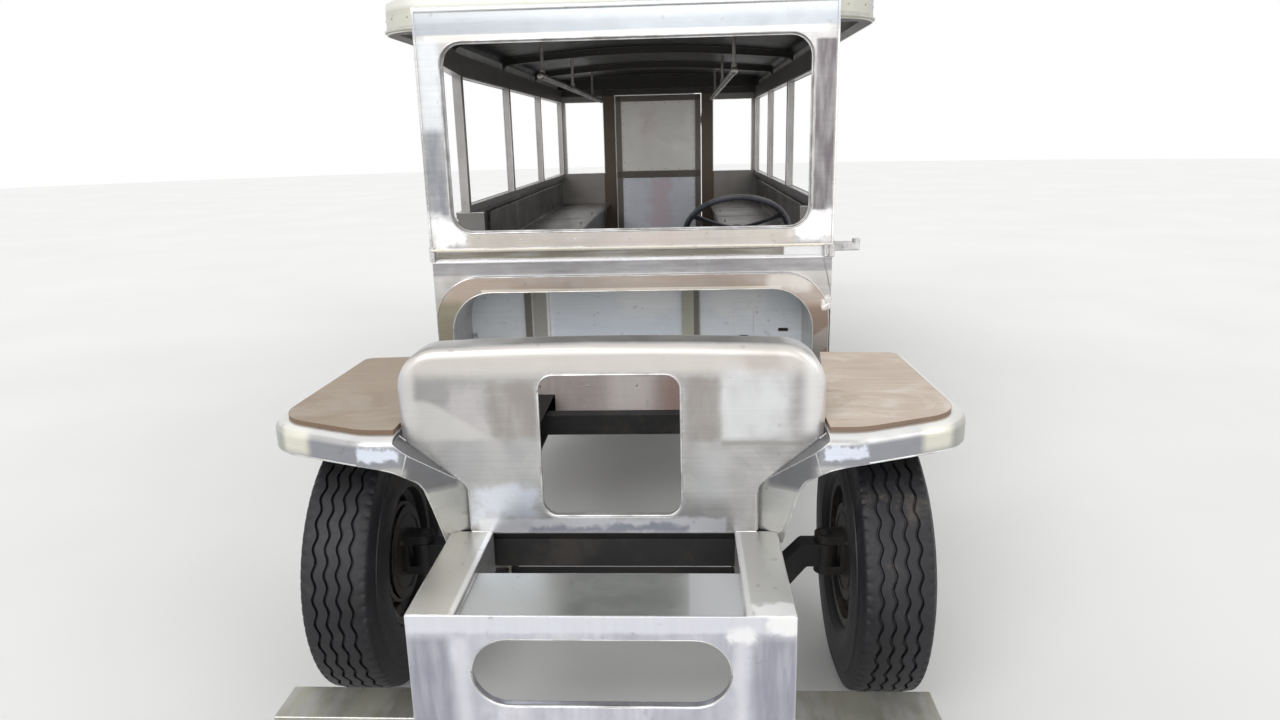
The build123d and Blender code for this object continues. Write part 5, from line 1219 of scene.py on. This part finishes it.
def sideTrim():
    # mouldings and rivets of one side, as lists for Batch.build
    fit, face, window = sideFit, sideFit["face"], sideFit["window"]
    beforeArch, afterArch = rearAxleY - fit["hoop"] - 0.012, rearAxleY + fit["hoop"] + 0.012
    rivet, bigRivet = (outward, *fit["rivet"]), (outward, *fit["bigRivet"])
    sweeps, tubes, rivets = [], [], []
    for y in (*postPlaces[:3], rearY - 0.022):
        low = fit["low"] + 0.01
        if abs(y - rearAxleY) < fit["hoop"]:
            low = wheelZ + 0.012 + math.sqrt(fit["hoop"] ** 2 - (y - rearAxleY) ** 2)
        sweeps.append((line((face, y, low), (face, y, fit["high"]), 24), fit["moulding"], False, outward))
        count = max(4, round((fit["rivetHigh"] - 0.02 - low) / fit["step"]))
        for place in (y - fit["beside"], y + fit["beside"]):
            rivets.append((line((face, place, low + 0.02), (face, place, fit["rivetHigh"]), count), *rivet))
    start, end = pillarY + 0.03, rearY - 0.03
    for first, last, z in ((start, end, fit["upperSwage"]), (start, beforeArch, fit["swage"]),
                           (afterArch, end, fit["swage"])):
        sweeps.append((line((face, first, z), (face, last, z), 40), fit["moulding"], False, outward))
    for first, last in ((pillarY + 0.004, beforeArch + 0.04), (afterArch - 0.04, rearY - 0.004)):
        hem = fit["low"] + 0.0015
        tubes.append((line((face - 0.004, first, hem), (face - 0.004, last, hem), 16), 0.0052))
    tubes.append((archArc(fit["arch"], 20.5, 159.5, 60, 0.0075), 0.0042))
    rivets.append((archArc(fit["arch"] + 0.012, 26, 154, 17, 0.008), *bigRivet))
    rivets.append(([(face + 0.0062, pillarY + postWidth + fit["rowStep"] * step, fit["row"])
                    for step in range(30)], *rivet))
    ledge = face + 0.0045
    tubes.append((line((ledge, pillarY, fit["ledge"]), (ledge, rearY, fit["ledge"]), 40), 0.003))
    for bay in range(3):
        first, last = pillarY + 0.0415 + bayPitch * bay, pillarY + bayPitch * (bay + 1) - 0.0015
        low, high = fit["glass"]
        loop = roundedLoop([(first, low, 0.004), (last, low, 0.004), (last, high, 0.004),
                            (first, high, 0.004)], 2)
        tubes += [([(window - depth, p.x, p.y) for p in loop], 0.0026, 6, True)
                  for depth in fit["glassDepths"]]
        z = fit["headRivets"]
        rivets.append((line((window, first + 0.08, z), (window, last - 0.08, z), 8), *rivet))
    for y in postPlaces:
        rivets.append(([(window, y, z) for z in fit["postRivets"]], outward, 0.0046, 0.0022))
    sill, post = fit["sill"], fit["post"]
    tubes.append((line((sill, cowlY + 0.27, 0.6885), (sill, pillarY - 0.002, 0.6885), 20), 0.0035))
    corner = post - 0.0005, firewallY + 0.0005
    tubes.append((line((*corner, 0.7), (*corner, 1.238), 12), 0.003))
    rivets.append((line((sill, firewallY + 0.06, 0.6), (sill, pillarY - 0.05, 0.6), 6), *bigRivet))
    for y in (cowlY + 0.03, firewallY - 0.03):
        rivets.append((line((post, y, 0.72), (post, y, 1.18), 5), *bigRivet))
    return {"sweep": sweeps, "tube": tubes}, {"domes": rivets}


sideMouldings, sideRivets = sideTrim()
makePiece("side_mouldings", plainSteel, "bare_steel", sideMouldings)
makePiece("side_rivets", zinc, "bare_steel", sideRivets)
print("side mouldings made")

rearFit = {"windowIn": 0.4555, "windowOut": 0.7745, "windowLow": 1.3305, "windowHigh": 1.9095,
           "band": ((-0.006, -0.0005), (-0.004, 0.003), (0.004, 0.003), (0.006, -0.0005)),
           "panels": ((0.745, 1.29), (1.34, 1.91)), "hinges": (0.9, 1.75), "hingeClear": 0.09}
rearOrigin = (0, rearY, 0)


def doorwayRivets(side):
    # rivets beside the doorway, set further out where a hinge is
    return [(side * (0.44 if side > 0 and min(abs(z - height) for height in rearFit["hinges"])
                     <= rearFit["hingeClear"] else 0.392), 0, z) for z in spaced(0.75, 1.95, 9)]


rearPaired = {
    "rod": [*[((rearFit["windowIn"], depth, z), (rearFit["windowOut"], depth, z), 0.0028)
              for depth in (0.0005, -0.0255) for z in (rearFit["windowLow"], rearFit["windowHigh"])],
            *[((x, depth, rearFit["windowLow"]), (x, depth, rearFit["windowHigh"]), 0.0028)
              for depth in (0.0005, -0.0255) for x in (rearFit["windowIn"], rearFit["windowOut"])]],
    "seam": [((0.8345, -0.001, 0.612), (0.8345, -0.001, 1.298), 0.0024)],
    "sweep": [(line((0.4, 0, z), (0.828, 0, z), 12), rearFit["band"], False, toBack) for z in (0.85, 1.11)],
}
rearSingle = {"rod": [((-0.359, 0.001, 0.698), (-0.359, 0.001, 1.96), 0.0026),
                      ((-0.359, 0.001, 1.96), (0.3, 0.001, 1.96), 0.0026)]}
rearRivets = {"domes": [(line((0.815, 0, 0.75), (0.815, 0, 1.25), 6), toBack, 0.0045, 0.0022)]}
doorwayParts = {"domes": [(doorwayRivets(side), toBack, 0.0042, 0.002) for side in bothSides]}
makePiece("rear_mouldings", plainSteel, "bare_steel", rearPaired, rearSingle, rearOrigin)
makePiece("rear_rivets", zinc, "bare_steel", rearRivets, doorwayParts, rearOrigin)


def panelScrews(low, high):
    # places round one panel of the door
    spots = [(x, z) for x in spaced(-0.29, 0.29, 6) for z in (low + 0.018, high - 0.018)]
    return spots + [(x, z) for z in spaced(low + 0.075, high - 0.075, 5) for x in (-0.29, 0.29)]


hingeHeights = rearFit["hinges"]
doorScrews = [spot for panel in rearFit["panels"] for spot in panelScrews(*panel)]
doorBeading = {
    "tube": [(frameLoop(0.309, low, high, 0.006, -depth, 3, 0), 0.0032, 8, True)
             for low, high in rearFit["panels"] for depth in (0.0035, 0.0215)],
    # the catch plate and its lock
    "box": [((-0.349, -0.001, 1.000), (-0.315, 0.0022, 1.2), 0.001)],
    "turned": [(((0.011, 0.0), (0.011, 0.005), (0.008, 0.007)), (-0.332, 0, 1.215), toBack, 20)],
}
doorScrewParts = {"domes": [
    (atY(doorScrews, -0.0085), toBack, 0.0038, 0.0018), (atY(doorScrews, -0.0165), toFront, 0.0038, 0.0018),
    ([(x, 0.005, height + z) for height in hingeHeights for z in (-0.018, 0.018) for x in (0.31, 0.335)],
     toBack, 0.004, 0.002),
    ([(-0.332, 0.0322, 1.042), (-0.332, 0.0322, 1.158)], toBack, 0.0036, 0.0016)]}
hingeParts = {"domes": [
    ([(x, 0.005, height + z) for height in hingeHeights for z in (-0.0405, 0.0405) for x in (0.385, 0.405)],
     toBack, 0.0038, 0.002),
    ([(0.366, 0.012, height - 0.05) for height in hingeHeights], toGround, 0.0085, 0.004, 16),
    ([(0.366, 0.012, height + 0.05) for height in hingeHeights], toTop, 0.0085, 0.004, 16)]}
makePiece("door_beading", shadedBeadSteel, "bare_steel", {}, doorBeading, rearOrigin, "tail_door")
makePiece("door_screws", zinc, "bare_steel", {}, doorScrewParts, rearOrigin, "tail_door")
makePiece("hinge_fittings", zinc, "bare_steel", {}, hingeParts, rearOrigin)
print("rear trim made")

# benches, seats, steps and hand rails
cabinFit = {
    "benchX": 0.43, "benchTop": 1.08, "benchFront": -0.1, "benchBack": 2.785, "lids": 4, "lidOut": 0.8,
    "lidGap": 0.012, "nose": 0.0085,
    # rods along the bench: across, height, points, radius, sides
    "rods": ((0.455, 0.6955, 30, 0.0045, 8), (0.821, 1.2595, 30, 0.005, 8)),
    "backRail": ((0.822, 1.272), (0.833, 1.296)), "screws": ((0.818, 1.23), (0.4502, 1.035)),
    # a lid's pull, along and up from the middle of the lid, and its hinge pins: across, lift, radius, inset
    "pull": ((-0.045, 0.002), (-0.04, 0.012), (0, 0.014), (0.04, 0.012), (0.045, 0.002)),
    "pullIn": 0.04, "pullRadius": 0.0035, "hinge": (0.8035, 0.004, 0.004, 0.08), "hingeHalf": 0.025,
    "seats": ((0.2, 0.64), (-0.66, -0.06)), "seatY": (-0.71, -0.28), "seatTop": 0.96, "cover": 0.004,
    "coverDrop": 0.024, "seamHalf": 0.0012, "ribs": (0.76, 0.875), "seatRivets": (0.72, 0.915),
    "railX": 0.43, "railZ": 1.9, "railY": (-0.68, 2.353),
}


def benchTrim():
    # nosings, lids with pulls and hinges, and their screws, as lists for Batch.build
    fit = cabinFit
    x, front, back, top = fit["benchX"], fit["benchFront"], fit["benchBack"], fit["benchTop"]
    lidPitch, gap, pull, nose = (back - front) / fit["lids"], fit["lidGap"], x + fit["pullIn"], fit["nose"]
    tubes = [(line((place, front, z), (place, back, z), count), radius, sides)
             for place, z, count, radius, sides in ((x, top - nose, 60, nose, 12), *fit["rods"])]
    (railIn, railLow), (railOut, railTop) = fit["backRail"]
    boxes, screws = [((railIn, front - 0.53, railLow), (railOut, back, railTop), 0.0015)], []
    hinge, lift, radius, inset = fit["hinge"]
    for lid in range(fit["lids"]):
        first, last = front + lid * lidPitch + gap, front + (lid + 1) * lidPitch - gap
        boxes.append(((x + 0.016, first, top - 0.001), (fit["lidOut"], last, top + 0.0022), 0.0012))
        tubes.append(([(pull, (first + last) / 2 + along, top + up) for along, up in fit["pull"]],
                      fit["pullRadius"]))
        tubes += [([(hinge, y + end * fit["hingeHalf"], top + lift) for end in bothSides], radius)
                  for y in (first + inset, last - inset)]
        screws += [(line((place, first + 0.03, z), (place, last - 0.03, z), 5), inward, 0.004, 0.002)
                   for place, z in fit["screws"]]
    return {"tube": tubes, "box": boxes}, {"domes": screws}


def seatTrim():
    fit = cabinFit
    top, rim, (front, back) = fit["seatTop"], fit["cover"], fit["seatY"]
    half, drop, hinge = fit["seamHalf"], fit["coverDrop"], (back + 0.006, top - 0.01)
    boxes, rods, rivets = [], [], []
    for low, high in fit["seats"]:
        middle = (low + high) / 2
        boxes += [((low - rim, front - rim, top - drop), (high + rim, back + rim, top + rim), rim),
                  ((middle - half, front + 0.02, top + 0.003), (middle + half, back - 0.02, top + 0.005),
                   0.0005)]
        rods += [((x - 0.03, *hinge), (x + 0.03, *hinge), 0.0055) for x in (low + 0.06, high - 0.06)]
        left, right = low + 0.05, high - 0.05
        rods += [((left, front - 0.0005, z), (right, front - 0.0005, z), 0.003) for z in fit["ribs"]]
        rivets += [(line((left, front - 0.0002, z), (right, front - 0.0002, z), 5), toFront, 0.005, 0.0024)
                   for z in fit["seatRivets"]]
    return {"box": boxes, "rod": rods, "domes": rivets}


def railTrim():
    # brackets and sockets of the hand rails, then the caps on their ends
    x, z, ends = cabinFit["railX"], cabinFit["railZ"], cabinFit["railY"]
    forms = []
    for y in postPlaces[:3]:
        forms += [(((0.022, 0.0), (0.022, -0.004), (0.011, -0.0075)), (x, y, roofZ(x) - 0.0685), toTop, 20),
                  (((0.0115, -0.02), (0.0125, -0.006), (0.0125, 0.006), (0.0115, 0.02)), (x, y, z + 0.016),
                   toTop, 16),
                  (((0.0163, -0.02), (0.0163, 0.02)), (x, y, z), toBack, 20)]
    forms += [(((0.0155, -0.012), (0.0155, 0.0), (0.0125, 0.005), (0.006, 0.0075)), (x, y, z), way, 20)
              for y, way in zip(ends, (toFront, toBack))]
    return {"turned": forms}


benchParts, benchScrews = benchTrim()
makePiece("bench_trim", shadedInnerSteel, "bare_steel", benchParts)
makePiece("bench_screws", zinc, "bare_steel", benchScrews)
makePiece("seat_trim", seatPaint, "seat_steel", {}, seatTrim())
makePiece("rail_fittings", railSteel, "rail_steel", railTrim())

stepFit = {"pitch": 0.02, "long": 0.0078, "half": 0.0022, "rise": 0.0013, "sink": 0.0005, "taper": 0.72,
           # across, along, height
           "plates": (((0.706, 0.869), (-1.585, -0.628), 0.4297),
                      ((-0.869, -0.706), (-1.585, -0.628), 0.4297),
                      ((-0.338, 0.338), (2.818, 2.948), 0.569))}


def makeStepTread():
    # raised lozenges, turned in pairs
    batch, fit = Batch(), stepFit
    form = [(-fit["long"], 0), (0, -fit["half"]), (fit["long"], 0), (0, fit["half"])]
    for (lowX, highX), (lowY, highY), z in fit["plates"]:
        columns, rows = round((highX - lowX) / fit["pitch"]), round((highY - lowY) / fit["pitch"])
        for column in range(columns):
            for row in range(rows):
                x = lowX + (column + 0.5) * (highX - lowX) / columns
                y = lowY + (row + 0.5) * (highY - lowY) / rows
                turn = Matrix.Rotation(math.radians(45 if (column + row) % 2 else -45), 2)
                base = [turn @ Vector(p) for p in form]
                batch.skin([(x + p.x * share, y + p.y * share, z + lift) for share, lift in (
                    (1, -fit["sink"]), (fit["taper"], fit["rise"])) for p in base], len(form))
    batch.piece("step_tread", plainSteel, "bare_steel")


makeStepTread()
print("cabin trim and steps made")

# chassis: spring bolts, rivets, brake pipes, dampers and axle fittings
chassisFit = {
    "railX": 0.38, "railOuter": 0.415, "railTop": 0.604, "railLow": 0.494,
    # axle, half length, seat height, eye height
    "springs": ((frontAxleY, 0.5, 0.3703, 0.4552), (rearAxleY, 0.6, 0.3588, 0.4438)),
    "members": (-2.53, -1.47, -0.29, 0.74, 2.09, 2.76), "pipe": 0.004, "pipeX": 0.352,
    # a spring's camber, ends of its clips as a share of its half, half width and reach of the clips
    "camber": 0.09, "clipAt": 0.52, "clip": (0.034, 0.015),
    # bows round the front and the rear axle: distance across and along, lower ends, radius
    "frontBow": (0.036, 0.042, 0.279), "rearBow": (0.037, 0.046, 0.294), "bow": 0.006,
    # nuts: size and height at the eyes and on the bows
    "eyeNut": (0.015, 0.011), "bowNut": (0.0125, 0.011),
}


def springTrim():
    # places across count from the middle of the rail
    fit, boxes, heads, tubes = chassisFit, [], [], []
    wide, reach = fit["clip"]
    for axle, half, seat, eye in fit["springs"]:
        for y in (axle - half, axle + half):
            heads += [((way * 0.0365, y, eye), (way, 0, 0), *fit["eyeNut"]) for way in bothSides]
        for y in (axle - half * fit["clipAt"], axle + half * fit["clipAt"]):
            height = seat + (y - axle) ** 2 * fit["camber"] / (half ** 2 + fit["camber"] ** 2)
            boxes.append(((-wide, y - reach, height - 0.032), (wide, y + reach, height + 0.004), 0.002))
    front, seat, rear = frontAxleY, fit["springs"][0][2], rearAxleY
    boxes += [((-0.045, front - 0.055, seat - 0.001), (0.045, front + 0.055, seat + 0.009), 0.002),
              ((-0.048, rear - 0.062, 0.3105), (0.048, rear + 0.062, 0.3192), 0.002)]
    across, along, foot = fit["frontBow"]
    for y in (front - along, front + along):
        bow = roundedLoop([(-across, foot, 0), (-across, seat + 0.015, 0.01), (across, seat + 0.015, 0.01),
                           (across, foot, 0)], 6)
        tubes.append((atY(bow, y), fit["bow"], 10))
        heads += [((shift, y, 0.2955), toGround, *fit["bowNut"]) for shift in (-across, across)]
    across, along, foot = fit["rearBow"]
    for shift in (-across, across):
        arch = [(shift, rear + along * math.cos(a), wheelZ + along * math.sin(a))
                for a in spaced(0, math.pi, 17)]
        bow = [(shift, rear + along, foot), *arch, (shift, rear - along, foot)]
        tubes.append((bow, fit["bow"], 10))
        heads += [((shift, y, 0.311), toGround, *fit["bowNut"]) for y in (rear - along, rear + along)]
    return {"box": boxes, "head": heads, "tube": tubes}


def railRivets():
    fit, rivets = chassisFit, []
    face, low, top = fit["railOuter"], fit["railLow"], fit["railTop"]
    for middle in fit["members"]:
        rivets.append(([(face, middle + shift, z) for shift in (-0.02, 0.02)
                        for z in (low + 0.022, top - 0.024)], outward, 0.007, 0.004, 10))
    for axle, half, _, _ in fit["springs"]:
        places = [axle + end + shift for end in (-half, half) for shift in (-0.016, 0.016)]
        rivets += [([(face, y, low + 0.02) for y in places], outward, 0.0062, 0.0036, 10),
                   ([(0.4175, y, 0.485) for y in places], outward, 0.005, 0.003, 10)]
    return {"domes": rivets}


pipeX, pipe = chassisFit["pipeX"], chassisFit["pipe"]
brakePipes = {
    "tube": [(resample(path, 0.03), pipe) for path in (
        [(pipeX, -2.42, 0.52), (pipeX, -1.6, 0.52), (pipeX, -0.4, 0.52), (pipeX, 0.9, 0.52),
         (pipeX, 1.24, 0.516), (pipeX - 0.02, 1.3, 0.5), (0.3, 1.34, 0.462), (0.296, 1.372, 0.446),
         (0.2, 1.376, 0.4465)],
        [(-0.56, 1.3745, 0.4405), (-0.15, 1.3745, 0.4405)],
        [(0.56, 1.3745, 0.4405), (0.15, 1.3745, 0.4405)])],
    "box": [((pipeX - 0.0065, y - 0.006, 0.512), (pipeX + 0.004, y + 0.006, 0.528), 0.0008)
            for y in spaced(-2.3, 1.1, 9)],
}
# rear axle: places count from its middle; cover behind, flange of the shaft before it
coverY, noseFlangeY = 0.0745, -0.21
axleSingle = {
    "turned": [(((0.118, -0.002), (0.118, 0.004), (0.112, 0.008), (0.06, 0.02), (0.02, 0.024)),
                (0, coverY, 0), toBack, 40),
               (((0.052, 0.0), (0.052, 0.01), (0.046, 0.014), (0.03, 0.014), (0.03, 0.034), (0.026, 0.038)),
                (0, noseFlangeY + 0.002, 0), toFront, 32)],
    "heads": [(circle((0, coverY + 0.005, 0), 0.104, 10, axis="y"), toBack, 0.0085, 0.008),
              ([(0.052, coverY + 0.014, 0.03)], toBack, 0.012, 0.01),
              (circle((0, noseFlangeY - 0.012, 0), 0.04, 4, 0.5, "y"), toFront, 0.0075, 0.007)],
    "tube": [(circle((0, noseFlangeY + ring, 0), 0.0605, 40, axis="y"), 0.003, 8, True)
             for ring in (0.03, 0.12)],
}
axlePaired = {
    "turned": [(((0.0435, -0.008), (0.045, -0.004), (0.045, 0.004), (0.0435, 0.008)), (x, 0, 0), outward, 32)
               for x in (0.15, 0.32, 0.5, 0.61)],
    "heads": [(circle((0.621, 0, 0), 0.095, 6, 0.5), inward, 0.009, 0.008)],
}
tankParts = {
    # straps, filler pipe with its cap, drain plug, seams of the ends
    "sweep": [(resample(atY(roundedLoop([
        (0.4165, 0.3175, 0.036), (0.7065, 0.3175, 0.036), (0.7065, 0.5855, 0.036), (0.4165, 0.5855, 0.036),
    ], 6), y), 0.018, True),
               ((-0.0012, -0.014), (-0.0012, 0.014), (0.0012, 0.014), (0.0012, -0.014)), True, toBack)
              for y in (0.055, 0.425)],
    "head": [*[((0.69, y, 0.3165), toGround, 0.009, 0.01) for y in (0.055, 0.425)],
             ((0.56, 0.24, 0.3188), toGround, 0.012, 0.01)],
    "tube": [(resample([(0.704, 0.24, 0.5), (0.745, 0.24, 0.51), (0.775, 0.24, 0.54),
                        (0.8, 0.24, 0.575)], 0.01), 0.02, 16)],
    "turned": [(((0.026, 0.0), (0.026, 0.016), (0.022, 0.02)), (0.797, 0.24, 0.572), (0.6, 0, 0.8), 24)],
    "rod": [((x, y, 0.33), (x, y, 0.572), 0.004) for x in (0.47, 0.66) for y in (-0.088, 0.561)],
}
damperShape = {
    "tube": 0.024, "rod": 0.009, "eye": 0.016,
    # foot and head of the front and the rear damper
    "places": (((0.455, frontAxleY + 0.052, 0.34), (0.44, frontAxleY + 0.165, 0.548)),
               ((0.3, rearAxleY + 0.055, 0.368), (0.322, rearAxleY + 0.29, 0.548))),
}


def damperTrim():
    shape, tube, forms, heads = damperShape, damperShape["tube"], [], []
    for foot, top in shape["places"]:
        low, high = Vector(foot), Vector(top)
        along, length = (high - low).normalized(), (high - low).length
        forms += [(((0.012, 0.0), (tube - 0.004, 0.02), (tube - 0.004, length * 0.52)), low, along, 24),
                  (((tube, length * 0.36), (tube, length - 0.028), (0.012, length - 0.016)), low, along, 24),
                  (((shape["rod"], 0.002), (shape["rod"], length - 0.002)), low, along, 12)]
        forms += [(((shape["eye"], -0.014), (shape["eye"], 0.014)), end, outward, 20) for end in (low, high)]
        heads += [(end + Vector((0.015, 0, 0)), outward, 0.011, 0.009) for end in (low, high)]
    return {"turned": forms, "head": heads}


makePiece("spring_fittings", zinc, "chassis_paint", springTrim(), origin=(chassisFit["railX"], 0, 0))
makePiece("rail_rivets", chassisPaint, "chassis_paint", railRivets())
makePiece("brake_pipes", zinc, "chassis_paint", {}, brakePipes)
makePiece("axle_fittings", chassisPaint, "chassis_paint", axlePaired, axleSingle, (0, rearAxleY, wheelZ))
makePiece("tank_fittings", chassisPaint, "chassis_paint", {}, tankParts)
makePiece("dampers", chassisPaint, "chassis_paint", damperTrim())
print("chassis fittings made")

columnFit = {
    "foot": (0.45, -1.322, 0.63), "joint": (0.42, -1.2309, 1.0441), "boot": (0.4434, -1.302, 0.716),
    # folds of the rubber boot: how many, first radius, how much each is smaller and lies further
    "folds": 4, "fold": 0.04, "foldLess": 0.004, "foldStep": 0.008,
    # steering box: its bolts' places across, along and up
    "boxX": 0.5, "boltY": (-1.405, -1.365, -1.322), "boltZ": (0.535, 0.62),
}


def columnTrim():
    fit = columnFit
    joint, boot = Vector(fit["joint"]), Vector(fit["boot"])
    axis = Vector((0, math.sqrt(0.5), math.sqrt(0.5)))
    down = (Vector(fit["foot"]) - joint).normalized()
    forms = [(((0.034, -0.03), (0.036, -0.02), (0.036, 0.02), (0.034, 0.03)), joint, outward, 28),
             (((0.026, 0.022), (0.026, 0.048), (0.023, 0.052)), joint, axis, 24),
             (((0.02, 0.022), (0.02, 0.06), (0.016, 0.064)), joint, down, 24),
             (((0.0245, 0.214), (0.0265, 0.218), (0.0265, 0.226), (0.0245, 0.23)), joint, axis, 24),
             (((0.04, 0.0), (0.04, 0.006), (0.034, 0.01)), (fit["boxX"], -1.372, 0.575), outward, 28)]
    for ring in range(fit["folds"]):
        radius = fit["fold"] - fit["foldLess"] * ring
        forms.append((((radius - 0.004, -0.003), (radius, 0.0), (radius - 0.004, 0.004)),
                      boot - down * (0.02 + fit["foldStep"] * ring), -down, 24))
    heads = [(joint + Vector((way * 0.03, 0, 0)), (way, 0, 0), 0.012, 0.01) for way in bothSides]
    heads += [((fit["boxX"], y, z), outward, 0.009, 0.008) for y in fit["boltY"] for z in fit["boltZ"]]
    return {"turned": forms, "head": heads + [((0.47, -1.397, 0.412), outward, 0.011, 0.012)]}


pedalFit = {
    "places": (0.3, 0.395, 0.52), "pad": (0.03, 0.036), "z": 0.8, "y": -1.18, "tilt": -35, "ribs": 5,
    # the arm's further places along and up, the shaft it hangs on, and the brackets of the shaft
    "arm": ((-1.215, 0.88), (-1.235, 0.98), (-1.24, 1.08), (-1.24, 1.14)), "shaft": (-1.24, 1.125),
    "shaftX": (0.27, 0.55), "brackets": (0.275, 0.545),
}


def makePedals():
    # three hanging pedals under the dashboard, with ribbed pads
    batch, fit, (wide, tall) = Batch(), pedalFit, pedalFit["pad"]
    for x in fit["places"]:
        batch.frame = (Matrix.Translation((x, fit["y"], fit["z"]))
                       @ Matrix.Rotation(math.radians(fit["tilt"]), 4, "X"))
        batch.box((-wide, -0.005, -tall), (wide, 0.005, tall), 0.003)
        for z in spaced(0.01 - tall, tall - 0.01, fit["ribs"]):
            batch.box((0.005 - wide, 0.004, z - 0.0025), (wide - 0.005, 0.008, z + 0.0025), 0.0008)
        batch.frame = Matrix.Identity(4)
        arm = [(x, y, z) for y, z in ((fit["y"] - 0.006, fit["z"]), *fit["arm"])]
        batch.tube(resample(arm, 0.02), 0.0065, 10)
    batch.rod(*[(x, *fit["shaft"]) for x in fit["shaftX"]], 0.009, 12)
    for x in fit["brackets"]:
        batch.box((x - 0.004, -1.279, 1.105), (x + 0.004, -1.225, 1.145), 0.001)
    batch.piece("pedals", columnPaint, "dark_paint")


rodEnds = {
    "turned": [(((0.0165, -0.03), (0.0165, 0.03)), (0.535, 0, 0.3), outward, 6),
               (((0.019, -0.006), (0.02, 0.0), (0.018, 0.006)), (0.59, 0, 0.3105), toTop, 24)],
    "head": [((0.59, 0, 0.2835), toGround, 0.011, 0.01)],
}
makePiece("column_fittings", columnPaint, "dark_paint", {}, columnTrim())
makePedals()
makePiece("track_rod_ends", chassisPaint, "chassis_paint", rodEnds, None, (0, -2.14, 0), "track_rod")
print("steering fittings made")

studio = {
    "sky": 0.72, "background": 1.0, "soft": 32.0, "floorSize": 90.0,
    "floorTones": ((240, 240, 239), (245, 245, 244)),
    # name, place it shines from, power
    "lamps": (("keyLamp", (-3.4, -5.6, 4.6), 1.00), ("fillLamp", (5.2, -3.5, 3.6), 0.42),
              ("frontLamp", (0.5, -9.0, 2.1), 0.42)),
}


def addLamp(name, place, power):
    # a wide soft light that falls the same everywhere, from the side of the given place
    data = bpy.data.lights.new(name, "SUN")
    data.angle, data.energy = math.radians(studio["soft"]), power
    lamp = bpy.data.objects.new(name, data)
    lamp.location = place
    lamp.rotation_euler = (-Vector(place)).to_track_quat("-Z", "Y").to_euler()
    scene.collection.objects.link(lamp)


def makeSky():
    # white where it is seen, straight or in a glossy surface, and softer as a light
    sky = Finish("studioSky", bpy.data.worlds)
    rays = sky.node("ShaderNodeLightPath").socket.node.outputs
    glossy, clear, straight = (Wire(sky, rays[name]) for name in (
        "Is Glossy Ray", "Is Transmission Ray", "Is Camera Ray"))
    level = sky.node("ShaderNodeMapRange", None, {0: straight.larger(glossy.larger(clear)), 3: studio["sky"],
                                                  4: studio["background"]})
    sky.close("ShaderNodeBackground", "ShaderNodeOutputWorld", Color=(1, 1, 1), Strength=level)
    scene.world = sky.owner


def makeFloor():
    finish = Finish("studioFloor")
    clouds = finish.noise(0.6, 3, 0.5)
    tone = finish.ramp(clouds, (0.3, 0.7), studio["floorTones"])
    finish.close(Base_Color=tone, Roughness=0.85 + (clouds - 0.5) * 0.1)
    ring = bmesh.new()
    bmesh.ops.create_circle(ring, cap_ends=True, segments=96, radius=studio["floorSize"] / 2)
    mesh = bpy.data.meshes.new("studioFloor")
    ring.to_mesh(mesh)
    ring.free()
    mesh.materials.append(finish.owner)
    ground = bpy.data.objects.new("studioFloor", mesh)
    scene.collection.objects.link(ground)


makeSky()
makeFloor()
for lampRow in studio["lamps"]:
    addLamp(*lampRow)
scene.view_settings.view_transform = "Standard"
print("studio ready")
